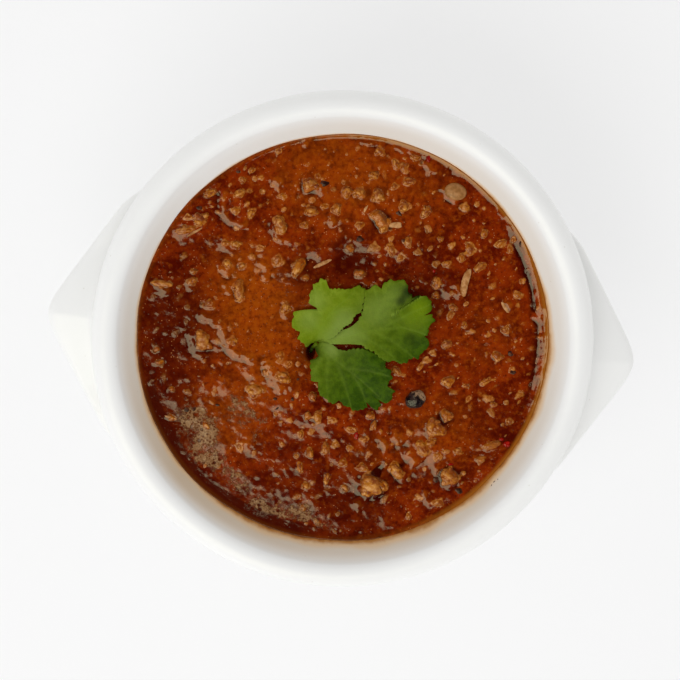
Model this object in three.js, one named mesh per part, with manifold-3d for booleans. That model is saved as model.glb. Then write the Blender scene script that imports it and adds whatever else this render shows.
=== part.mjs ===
// A round white stoneware bowl with two pointed lugs, filled with vegetarian chili and
// topped with one coriander leaf. Millimetres, +Z up. The origin is the centre of the
// foot's underside, and the lugs point along X.

import * as THREE from 'three';
import { mergeVertices } from 'three/addons/utils/BufferGeometryUtils.js';
import Module from 'manifold-3d';

const wasm = await Module();
wasm.setup();

// ---------------------------------------------------------------- driving dimensions

const GAP = 0.3; // clear space between two pieces that touch
const TURN_STEPS = 48; // flats round the bowl and the chili
const WALL_STEPS = 7; // flats down the inner wall, in the bowl and the chili alike

// Rim: a half-round bead whose section is an ellipse
const RIM_RADIUS = 66.4; // axis of the bowl to the crown of the rim
const RIM_HALF_WIDTH = 4.2;
const RIM_HALF_HEIGHT = 5;
const BOWL_HEIGHT = 62;
const RIM_MIDDLE_Z = BOWL_HEIGHT - RIM_HALF_HEIGHT;
const MOUTH_RADIUS = 62.9; // where the bead meets the flared inner wall

// Wall and foot
const CHILI_RADIUS = 57.7; // inner wall at the level of the chili
const CHILI_LEVEL = 53.6;
const FLARE_END_Z = 52.6; // the straight flare ends just under the level of the chili
const INNER_FULLNESS = 56; // how far out the inner curve is drawn at the bottom
const OUTER_PULLS = { low: [48, 10], high: [66.5, 44] }; // what bends the outer curve
const FLOOR_Z = 9; // inside of the bottom
const FOOT_OUTER_RADIUS = 36;
const FOOT_INNER_RADIUS = 30.5;
const FOOT_HEIGHT = 4.5;
const FOOT_ROUNDING = 0.8;
const FOOT_NECK = 1.2; // height of the step where the body springs from the foot ring
const RECESS_Z = 3.5; // underside of the bottom, inside the foot ring

// Lugs: flat triangular ears with a ridge down the middle, on a keel that meets the wall
const LUG_TIP_X = 83.6;
const LUG_TIP_RADIUS = 4.2;
const LUG_SHOULDER = { x: 74, halfWidth: 17.6 };
const LUG_ROOT = { x: 66, halfWidth: 21 };
const LUG_START_X = 59; // buried in the wall
const LUG_EDGE_Z = 48.5;
const LUG_EDGE_HALF_THICKNESS = 2.2;
const LUG_RIDGE = 3.6; // rise of the ridge over the edges, at the root
const LUG_KEEL = 5; // drop of the keel under the edges, at the root
const LUG_CORNER_SOFTNESS = 1.2; // how far the shoulders are rounded off

// Granules of soy mince that show at the surface of the chili
const SMALL_GRANULE = { least: 2.8, most: 4.4 }; // length
const GRANULE_SPACING = 7.5;
const GRANULE_JITTER = 0.5; // share of the spacing
const GRANULE_RISE = 0.4; // share of its height that a small granule stands proud

// The lumps that stand out: x, y, length, width, and the turn of the length in degrees
const LUMPS = [
  [-42.7, 30.4, 4.4, 3.8, 30], [-46.8, 27.0, 5.8, 3.0, 5], [-39.6, 38.4, 3.6, 3.2, 0],
  [-35.8, 37.2, 3.4, 3.0, 60], [-33.2, 33.8, 4.2, 3.4, 20], [-29.2, 33.4, 4.2, 3.4, 95],
  [-32.2, 24.0, 4.6, 3.9, 160], [-12.6, 43.8, 5.4, 4.4, 10], [-23.4, 42.0, 4.2, 3.4, 0],
  [-1.4, 42.4, 4.0, 3.6, 80], [6.6, 41.4, 4.8, 4.4, 140], [-5.2, 36.6, 4.8, 4.2, 25],
  [-12.2, 35.2, 4.2, 3.4, 100], [-21.2, 30.0, 6.4, 5.0, 75], [7.4, 34.6, 5.4, 4.8, 45],
  [-21.0, 21.4, 5.6, 4.8, 150], [19.8, 38.0, 4.8, 3.6, 80], [32.8, 28.0, 5.4, 4.0, 70],
  [37.6, 24.2, 4.2, 3.2, 0], [-51.4, 11.2, 6.6, 3.0, 10], [-43.4, 12.4, 4.0, 3.6, 0],
  [-39.2, -3.0, 6.2, 4.8, 100], [-30.0, 9.6, 6.0, 4.0, 85], [-30.6, 18.6, 5.8, 3.4, 15],
  [-16.2, -12.8, 6.6, 4.4, 80], [-23.9, -16.5, 5.8, 5.0, 20], [-4.8, -23.0, 5.6, 3.6, 5],
  [11.6, -40.6, 8.0, 6.2, 20], [8.0, -47.6, 4.6, 4.0, 70], [19.4, -37.2, 4.8, 4.2, 60],
  [31.2, -19.4, 4.4, 4.0, 0], [28.2, -23.8, 6.2, 5.4, 160], [25.2, -29.4, 6.6, 5.8, 30],
  [34.6, -36.0, 6.2, 5.2, 15], [45.8, -26.8, 4.6, 3.4, 10], [31.2, -44.2, 4.4, 4.0, 45],
  [18.2, -26.4, 6.0, 4.0, 0], [2.6, -33.4, 4.4, 3.6, 30], [-10.4, -36.0, 4.6, 3.8, 120],
];
const LUMP_HEIGHT = 0.72; // share of its width
const LUMP_RISE = 0.4;
const FINE_LUMP = 5; // lumps longer than this have rounder facets

// Black bean, pale bean and onion strip, each half sunk in the chili
const BLACK_BEAN = { x: 22.1, y: -15.2, length: 6.8, width: 5.6, height: 4.6, turn: 35, rise: 0.5 };
const PALE_BEAN = { x: 27.6, y: 44.6, length: 6.4, width: 5.0, height: 2.6, turn: 170, rise: 0.2 };
const ONION = { x: 33.4, y: 19.2, length: 8.6, width: 2.2, height: 1.8, turn: 82, rise: 0.15, bow: 0.7 };

// Coriander leaf. Each lobe is drawn round its own middle as degrees and reach, going
// through the tips and the notches between them.
const LEAF_THICKNESS = 0.4;
const LEAF_LIFT = 1.45; // middle height of the leaf above the chili
const LEAF_WAVE = 0.85;
const LEAF_HUB = { x: -6.2, y: -1.2, radius: 2.7 };
const LEAF_CELL = 3; // size of the facets
const LEAF_AREA = { west: -18, east: 30, south: -26, north: 24 };
const LEAF_ROOM_HEIGHT = 14; // tall enough to cut the leaf's outline through its waves
const LOBES = [
  {
    middle: [-4.4, 7.8],
    reach: [
      [0, 7.5], [36, 12.0], [60, 8.0], [92, 6.6], [101, 9.2], [114, 10.1], [134, 8.3], [150, 7.0],
      [161, 7.5], [171, 3.6], [181, 10.6], [204, 11.4], [215, 10.3], [233, 12.2], [252, 10.4],
      [276, 7.6], [306, 5.6], [338, 6.1],
    ],
  },
  {
    middle: [14.0, 5.5],
    reach: [
      [0, 9.5], [12, 11.5], [24, 11.0], [42, 12.5], [58, 10.6], [67, 9.8], [80, 13.3], [100, 13.3],
      [114, 11.6], [122, 13.0], [150, 10.6], [176, 11.0], [187, 14.0], [198, 18.6], [208, 12.4],
      [224, 9.7], [246, 9.0], [276, 10.0], [298, 11.0], [314, 11.4], [336, 11.4],
    ],
  },
  {
    middle: [3.5, -10.1],
    reach: [
      [6, 11.4], [24, 9.7], [32, 10.6], [60, 8.9], [98, 8.3], [118, 8.3], [136, 11.0], [147, 13.9],
      [157, 12.2], [164, 12.7], [190, 11.5], [199, 9.9], [216, 10.4], [236, 9.4], [248, 7.6],
      [266, 8.7], [286, 9.9], [299, 9.5], [314, 11.7], [336, 13.1], [349, 12.6], [355, 10.1],
    ],
  },
];
const CRENATION = { depth: 0.35, count: 26 }; // small round teeth along each lobe
const LOBE_STEPS = 52;
const STALK = { radius: 0.85, lean: [-2.6, -2.4], depth: 4.5 };

// ---------------------------------------------------------------- colours and finishes

const FINISHES = {
  glaze: { color: 0xeeeeea, roughness: 0.18, metalness: 0 },
  chili: { color: 0x7c2f10, roughness: 0.3, metalness: 0 },
  coriander: { color: 0x4f8a16, roughness: 0.45, metalness: 0 },
  blackBean: { color: 0x1d1716, roughness: 0.3, metalness: 0 },
  paleBean: { color: 0xb7825a, roughness: 0.4, metalness: 0 },
  onion: { color: 0xc09068, roughness: 0.35, metalness: 0 },
};

// ---------------------------------------------------------------- helpers

function seededRandom(seed) {
  let state = seed;
  return () => {
    state = (state * 1664525 + 1013904223) % 4294967296;
    return state / 4294967296;
  };
}

// The geometry with only its places left, and shared corners merged
function bare(geometry) {
  geometry.deleteAttribute('normal');
  geometry.deleteAttribute('uv');
  return mergeVertices(geometry, 1e-3);
}

// Closed solid from a three.js geometry, without the faces that have no area
function toSolid(geometry) {
  const merged = bare(geometry);
  const corners = merged.index.array;
  const triangles = [];
  for (let i = 0; i < corners.length; i += 3) {
    const [a, b, c] = corners.slice(i, i + 3);
    if (a !== b && b !== c && c !== a) triangles.push(a, b, c);
  }
  return new wasm.Manifold(new wasm.Mesh({
    numProp: 3,
    vertProperties: Float32Array.from(merged.attributes.position.array),
    triVerts: Uint32Array.from(triangles),
  }));
}

function toMesh(name, solid, finish) {
  const { vertProperties, triVerts } = solid.getMesh();
  const geometry = new THREE.BufferGeometry();
  geometry.setAttribute('position', new THREE.BufferAttribute(vertProperties, 3));
  geometry.setIndex(new THREE.BufferAttribute(triVerts, 1));
  geometry.computeVertexNormals();
  const mesh = new THREE.Mesh(geometry, new THREE.MeshStandardMaterial(finish));
  mesh.name = name;
  return mesh;
}

const joined = (solids) => solids.reduce((whole, solid) => whole.add(solid));
const largest = (solid) => solid.decompose().sort((a, b) => b.volume() - a.volume())[0];
const turned = (profile) => toSolid(new THREE.LatheGeometry(profile, TURN_STEPS).rotateX(Math.PI / 2));

function moveCorners(geometry, move) {
  const position = geometry.attributes.position;
  const corner = new THREE.Vector3();
  for (let i = 0; i < position.count; i++) {
    move(corner.fromBufferAttribute(position, i));
    position.setXYZ(i, corner.x, corner.y, corner.z);
  }
  return geometry;
}

// ---------------------------------------------------------------- bowl

const point = (r, z) => new THREE.Vector2(r, z);

const rimArc = new THREE.EllipseCurve(
  RIM_RADIUS, RIM_MIDDLE_Z, RIM_HALF_WIDTH, RIM_HALF_HEIGHT,
  0, Math.acos((MOUTH_RADIUS - RIM_RADIUS) / RIM_HALF_WIDTH),
);
const mouth = rimArc.getPoint(1);

// The flared wall runs straight to a little below the level of the chili, then curves in
const flareSlope = (MOUTH_RADIUS - CHILI_RADIUS) / (mouth.y - CHILI_LEVEL);
const flareEnd = point(CHILI_RADIUS - flareSlope * (CHILI_LEVEL - FLARE_END_Z), FLARE_END_Z);
const flareReach = 6;
const innerCurve = new THREE.CubicBezierCurve(
  flareEnd,
  point(flareEnd.x - flareReach * flareSlope, flareEnd.y - flareReach),
  point(INNER_FULLNESS, FLOOR_Z),
  point(0, FLOOR_Z),
);
const outerCurve = new THREE.CubicBezierCurve(
  point(FOOT_OUTER_RADIUS + FOOT_NECK, FOOT_HEIGHT),
  point(...OUTER_PULLS.low),
  point(...OUTER_PULLS.high),
  point(RIM_RADIUS + RIM_HALF_WIDTH, RIM_MIDDLE_Z),
);

function footProfile() {
  return [
    point(0, RECESS_Z),
    point(FOOT_INNER_RADIUS - FOOT_ROUNDING, RECESS_Z),
    point(FOOT_INNER_RADIUS, RECESS_Z - FOOT_ROUNDING),
    point(FOOT_INNER_RADIUS, FOOT_ROUNDING),
    point(FOOT_INNER_RADIUS + FOOT_ROUNDING, 0),
    point(FOOT_OUTER_RADIUS - FOOT_ROUNDING, 0),
    point(FOOT_OUTER_RADIUS, FOOT_ROUNDING),
    point(FOOT_OUTER_RADIUS, FOOT_HEIGHT - FOOT_NECK),
  ];
}

function bowlBody() {
  return turned([
    ...footProfile(),
    ...outerCurve.getPoints(7),
    ...rimArc.getPoints(8).slice(1),
    ...innerCurve.getPoints(WALL_STEPS),
  ]);
}

// Half width of a lug at a distance from the axis: straight sides that draw in to the
// shoulders, straight again to the tip, and a round tip
function lugHalfWidth(x) {
  const sideSlope = (LUG_SHOULDER.halfWidth - LUG_ROOT.halfWidth) / (LUG_SHOULDER.x - LUG_ROOT.x);
  const side = LUG_ROOT.halfWidth + sideSlope * (x - LUG_ROOT.x);
  const tipCentre = LUG_TIP_X - LUG_TIP_RADIUS;
  const toShoulder = Math.hypot(LUG_SHOULDER.x - tipCentre, LUG_SHOULDER.halfWidth);
  const tangent = Math.atan2(LUG_SHOULDER.halfWidth, LUG_SHOULDER.x - tipCentre)
    - Math.acos(LUG_TIP_RADIUS / toShoulder);
  const touch = point(tipCentre + LUG_TIP_RADIUS * Math.cos(tangent), LUG_TIP_RADIUS * Math.sin(tangent));
  if (x >= touch.x) return Math.sqrt(Math.max(LUG_TIP_RADIUS ** 2 - (x - tipCentre) ** 2, 0.01));
  const front = touch.y + (LUG_SHOULDER.halfWidth - touch.y) * (touch.x - x) / (touch.x - LUG_SHOULDER.x);
  const rounding = Math.exp(-Math.abs(side - front) / (2 * LUG_CORNER_SOFTNESS));
  return Math.min(side, front) - LUG_CORNER_SOFTNESS * rounding / 2;
}

// One lug: a loft of plate-like sections with rounded edges, roofed above and keeled below
function lug() {
  const stations = [LUG_START_X, 66, 70, 72.5, 74, 75.5, 78, 80, 81.4, 82.5, 83.2, LUG_TIP_X];
  const ringSteps = 16;
  const corners = [];
  for (const x of stations) {
    const halfWidth = lugHalfWidth(x);
    const out = Math.min(Math.max((x - LUG_ROOT.x) / (LUG_TIP_X - LUG_ROOT.x), 0), 1);
    const halfThickness = LUG_EDGE_HALF_THICKNESS * Math.min(1, Math.sqrt(halfWidth / 3));
    const ridge = LUG_RIDGE * (1 - 0.85 * out);
    const keel = LUG_KEEL * (1 - out) ** 1.5;
    for (let i = 0; i < ringSteps; i++) {
      const angle = 2 * Math.PI * i / ringSteps;
      const across = Math.sign(Math.cos(angle)) * Math.abs(Math.cos(angle)) ** 0.5;
      const up = Math.sign(Math.sin(angle)) * Math.abs(Math.sin(angle)) ** 0.5;
      const roof = up > 0 ? ridge * (1 - Math.abs(across)) : -keel * (1 - across ** 2);
      corners.push(x, halfWidth * across, LUG_EDGE_Z + halfThickness * up + roof);
    }
  }
  const last = (stations.length - 1) * ringSteps;
  const triangles = [];
  for (let ring = 0; ring < last; ring += ringSteps) {
    for (let i = 0; i < ringSteps; i++) {
      const next = (i + 1) % ringSteps;
      const [a, b] = [ring + i, ring + next];
      triangles.push(a, b, a + ringSteps, b, b + ringSteps, a + ringSteps);
    }
  }
  for (let i = 1; i < ringSteps - 1; i++) {
    triangles.push(0, i + 1, i, last, last + i, last + i + 1);
  }
  const geometry = new THREE.BufferGeometry();
  geometry.setAttribute('position', new THREE.Float32BufferAttribute(corners, 3));
  geometry.setIndex(triangles);
  return geometry;
}

function bowl() {
  const right = toSolid(lug());
  const left = toSolid(lug().rotateZ(Math.PI));
  return joined([bowlBody(), right, left]);
}

// ---------------------------------------------------------------- pieces in the chili

// A squashed ball with a wrinkled skin, laid on the chili. clearance grows it evenly.
function pebble(shape, ball, random, wrinkle, clearance = 0) {
  const half = [shape.length / 2 + clearance, shape.width / 2 + clearance, shape.height / 2 + clearance];
  const skin = moveCorners(bare(ball), (corner) => {
    corner.multiplyScalar(1 - wrinkle * random()).multiply(new THREE.Vector3(...half));
    if (shape.bow) corner.y += shape.bow * (1 - (2 * corner.x / shape.length) ** 2);
  });
  skin.rotateZ(THREE.MathUtils.degToRad(shape.turn));
  return skin.translate(shape.x, shape.y, CHILI_LEVEL + shape.rise);
}

function beanSolid(shape, clearance) {
  const skin = new THREE.SphereGeometry(1, 14, 8).rotateX(Math.PI / 2);
  return toSolid(pebble(shape, skin, seededRandom(3), 0.04, clearance));
}

function lumpSolid([x, y, length, width, turn], random) {
  const height = width * LUMP_HEIGHT;
  const shape = { x, y, length, width, height, turn, rise: height * (LUMP_RISE - 0.5) };
  const ball = new THREE.IcosahedronGeometry(1, length > FINE_LUMP ? 1 : 0);
  return toSolid(pebble(shape, ball, random, 0.25));
}

function granuleSolid(x, y, random) {
  const length = THREE.MathUtils.lerp(SMALL_GRANULE.least, SMALL_GRANULE.most, random());
  const width = length * (0.72 + 0.2 * random());
  const height = width * 0.8;
  const rise = height * (GRANULE_RISE - 0.5);
  const shape = { x, y, length, width, height, turn: 180 * random(), rise };
  return toSolid(pebble(shape, new THREE.IcosahedronGeometry(1, 0), random, 0.2));
}

// Places for the small granules: a jittered triangular net that misses the lumps
function granulePlaces(random) {
  const places = [];
  const rowStep = GRANULE_SPACING * Math.sqrt(0.75);
  const edge = CHILI_RADIUS - SMALL_GRANULE.most / 2 - 2 * GAP;
  const rows = Math.ceil(edge / rowStep);
  const jitter = () => GRANULE_SPACING * GRANULE_JITTER * (random() - 0.5);
  const clearOf = (x, y) => ([lumpX, lumpY, length]) => (
    Math.hypot(x - lumpX, y - lumpY) > (length + SMALL_GRANULE.least) / 2
  );
  for (let row = -rows; row <= rows; row++) {
    for (let column = -rows; column <= rows; column++) {
      const x = (column + Math.abs(row % 2) / 2) * GRANULE_SPACING + jitter();
      const y = row * rowStep + jitter();
      if (Math.hypot(x, y) < edge && LUMPS.every(clearOf(x, y))) places.push([x, y]);
    }
  }
  return places;
}

// ---------------------------------------------------------------- coriander leaf

const leafHeight = (x, y) => CHILI_LEVEL + LEAF_LIFT
  + LEAF_WAVE * Math.sin(0.24 * x + 0.6) * Math.cos(0.21 * y - 0.5);

// Outline of a lobe: eased from each tip to the next notch, with small round teeth
function lobeReach(lobe, degrees) {
  const table = lobe.reach;
  const after = table.findIndex(([at]) => at > degrees);
  const [next, last] = after < 0 ? [table[0], table[table.length - 1]]
    : [table[after], table[(after + table.length - 1) % table.length]];
  const span = (next[0] - last[0] + 360) % 360;
  const along = ((degrees - last[0] + 360) % 360) / span;
  const eased = (1 - Math.cos(Math.PI * along)) / 2;
  const teeth = CRENATION.depth * Math.abs(Math.cos(CRENATION.count * degrees * Math.PI / 360));
  return last[1] + (next[1] - last[1]) * eased + teeth - CRENATION.depth;
}

function lobePrism(lobe, clearance) {
  const outline = new THREE.Shape(Array.from({ length: LOBE_STEPS }, (_, i) => {
    const degrees = 360 * i / LOBE_STEPS;
    const reach = lobeReach(lobe, degrees) + clearance;
    const angle = THREE.MathUtils.degToRad(degrees);
    return point(lobe.middle[0] + reach * Math.cos(angle), lobe.middle[1] + reach * Math.sin(angle));
  }));
  const prism = new THREE.ExtrudeGeometry(outline, { depth: LEAF_ROOM_HEIGHT, bevelEnabled: false });
  return toSolid(prism.translate(0, 0, CHILI_LEVEL - LEAF_ROOM_HEIGHT / 2));
}

function leafPrism(clearance) {
  const radius = LEAF_HUB.radius + clearance;
  const hub = new THREE.CylinderGeometry(radius, radius, LEAF_ROOM_HEIGHT, 16)
    .rotateX(Math.PI / 2)
    .translate(LEAF_HUB.x, LEAF_HUB.y, CHILI_LEVEL);
  return joined([...LOBES.map((lobe) => lobePrism(lobe, clearance)), toSolid(hub)]);
}

// A wavy sheet over the leaf's place, from `under` below its middle to `over` above it,
// with both faces split into the same triangles
function wavySheet(under, over) {
  const { west, east, south, north } = LEAF_AREA;
  const columns = Math.round((east - west) / LEAF_CELL);
  const rows = Math.round((north - south) / LEAF_CELL);
  const corners = [];
  for (const offset of [-under, over]) {
    for (let row = 0; row <= rows; row++) {
      for (let column = 0; column <= columns; column++) {
        const x = west + (east - west) * column / columns;
        const y = south + (north - south) * row / rows;
        corners.push(x, y, leafHeight(x, y) + offset);
      }
    }
  }
  const wide = columns + 1;
  const layer = wide * (rows + 1);
  const triangles = [];
  for (let row = 0; row < rows; row++) {
    for (let column = 0; column < columns; column++) {
      const a = row * wide + column;
      const [b, c, d] = [a + 1, a + wide, a + wide + 1];
      triangles.push(a, c, b, b, c, d);
      triangles.push(a + layer, b + layer, c + layer, b + layer, d + layer, c + layer);
    }
  }
  const wall = (a, b) => triangles.push(a, b, a + layer, b, b + layer, a + layer);
  for (let column = 0; column < columns; column++) {
    wall(column, column + 1);
    wall(rows * wide + column + 1, rows * wide + column);
  }
  for (let row = 0; row < rows; row++) {
    wall((row + 1) * wide, row * wide);
    wall(row * wide + columns, (row + 1) * wide + columns);
  }
  const geometry = new THREE.BufferGeometry();
  geometry.setAttribute('position', new THREE.Float32BufferAttribute(corners, 3));
  geometry.setIndex(triangles);
  return toSolid(geometry);
}

// The stalk leaves the hub and dips into the chili
function stalk(clearance) {
  const top = new THREE.Vector3(LEAF_HUB.x, LEAF_HUB.y, leafHeight(LEAF_HUB.x, LEAF_HUB.y));
  const foot = top.clone().add(new THREE.Vector3(...STALK.lean, -STALK.depth));
  const downward = foot.clone().sub(top).normalize();
  const along = new THREE.LineCurve3(foot.addScaledVector(downward, clearance), top);
  const section = new THREE.Shape().absarc(0, 0, STALK.radius + clearance, 0, 2 * Math.PI);
  const options = { extrudePath: along, steps: 1, curveSegments: 5, bevelEnabled: false };
  return toSolid(new THREE.ExtrudeGeometry(section, options));
}

function leaf() {
  const blade = wavySheet(LEAF_THICKNESS / 2, LEAF_THICKNESS / 2);
  return leafPrism(0).intersect(blade).add(stalk(0));
}

// The room that the leaf and its stalk need above the chili
function leafRoom() {
  const room = wavySheet(LEAF_THICKNESS / 2 + GAP, LEAF_ROOM_HEIGHT / 4);
  return leafPrism(GAP).intersect(room).add(stalk(GAP));
}

// ---------------------------------------------------------------- chili

function chiliCore() {
  const wall = innerCurve.getPoints(WALL_STEPS).map((spot, i) => {
    const tangent = innerCurve.getTangent(i / WALL_STEPS);
    return point(spot.x + GAP * tangent.y, spot.y - GAP * tangent.x);
  });
  wall[WALL_STEPS].x = 0;
  const sideGap = GAP * Math.hypot(1, flareSlope);
  return turned([...wall.reverse(), point(CHILI_RADIUS - sideGap, CHILI_LEVEL), point(0, CHILI_LEVEL)]);
}

function chili() {
  const random = seededRandom(11);
  const lumps = LUMPS.map((lump) => lumpSolid(lump, random));
  const granules = granulePlaces(random).map(([x, y]) => granuleSolid(x, y, random));
  const heap = joined([chiliCore(), ...lumps, ...granules]);
  const beanRooms = [BLACK_BEAN, PALE_BEAN, ONION].map((shape) => beanSolid(shape, GAP));
  return largest([leafRoom(), ...beanRooms].reduce((rest, room) => rest.subtract(room), heap));
}

// ---------------------------------------------------------------- the whole dish

const dish = new THREE.Group();
dish.add(
  toMesh('bowl', bowl(), FINISHES.glaze),
  toMesh('chili', chili(), FINISHES.chili),
  toMesh('coriander_leaf', leaf(), FINISHES.coriander),
  toMesh('black_bean', beanSolid(BLACK_BEAN, 0), FINISHES.blackBean),
  toMesh('pale_bean', beanSolid(PALE_BEAN, 0), FINISHES.paleBean),
  toMesh('onion_strip', beanSolid(ONION, 0), FINISHES.onion),
);

export default dish;
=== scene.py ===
"""A white glazed bowl of vegetarian chili with one coriander leaf, seen almost straight from above."""

import math

import bmesh
import bpy
import numpy as np
from mathutils import Matrix, Vector, noise


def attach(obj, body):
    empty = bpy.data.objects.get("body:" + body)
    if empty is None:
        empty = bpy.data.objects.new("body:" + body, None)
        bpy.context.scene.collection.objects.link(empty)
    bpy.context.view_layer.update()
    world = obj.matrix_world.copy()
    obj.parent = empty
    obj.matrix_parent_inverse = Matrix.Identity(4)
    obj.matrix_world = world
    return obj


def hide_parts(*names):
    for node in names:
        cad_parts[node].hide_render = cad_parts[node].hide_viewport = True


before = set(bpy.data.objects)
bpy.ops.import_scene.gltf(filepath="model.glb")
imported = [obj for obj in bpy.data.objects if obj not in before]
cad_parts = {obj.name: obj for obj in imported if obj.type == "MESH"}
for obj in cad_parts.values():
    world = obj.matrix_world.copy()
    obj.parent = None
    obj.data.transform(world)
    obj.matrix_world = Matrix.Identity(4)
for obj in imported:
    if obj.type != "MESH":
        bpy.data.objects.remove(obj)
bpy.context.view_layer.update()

# Every form is modelled in millimetres and becomes metres when it is finished.
MM = 0.001

# ---------------------------------------------------------------- sizes: the bowl
TURN_STEPS = 256
STEP_GATHER = 0.35  # how strongly the steps gather at the lugs

RIM_RADIUS = 66.4
RIM_HALF_WIDTH = 4.2
RIM_HALF_HEIGHT = 5.0
RIM_MIDDLE_Z = 57.0
MOUTH_RADIUS = 62.9
CHILI_RADIUS = 57.7
CHILI_LEVEL = 53.6
FLARE_END_Z = 52.6
FLARE_REACH = 6.0  # how far the flare's line guides the inner curve
INNER_FULLNESS = 56.0
FLOOR_Z = 9.0
NECK_RADIUS = 37.2
NECK_Z = 4.5
OUTER_PULLS = ((48.0, 10.0), (66.5, 44.0))
FOOT_OUTER_RADIUS = 36.0
FOOT_INNER_RADIUS = 30.5
FOOT_ROUNDING = 0.8
RECESS_Z = 3.5
BARE_FOOT = (0.5, 0.9)  # the glaze starts between these heights

LUG_TIP_X = 83.6
LUG_POINT_X = 85.0  # where the two front edges would meet if the tip weren't rounded
LUG_SHOULDER = (74.0, 17.6)
LUG_ROOT = (66.0, 21.0)
LUG_EDGE_Z = 48.5
LUG_HALF_THICKNESS = 2.2
LUG_RIDGE = 3.6
LUG_KEEL = 5.0
LUG_ROUNDNESS = 30  # the higher, the sharper the lug's corners in plan
LUG_FILLET = 1.3
LUG_ENDS = (25, 40)  # turns from its middle line between which a lug runs out into the wall
LUG_SOFTNESS = 0.8
LUG_BLUNTNESS = 1.25
LUG_RIDGE_SOFTNESS = 0.04
LUG_RIDGE_FALL = 0.85  # share of the ridge that is lost towards the tip

# ---------------------------------------------------------------- sizes: the stew
STEW_CELLS = 296
SKIRT_HEIGHTS = (50.0, 40.0, 26.0, 14.0, 9.4)
SKIRT_GAP = 0.35
RELIEF_STEP = 0.12  # spacing of the relief's raster
RELIEF_REACH = 60.0

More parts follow.
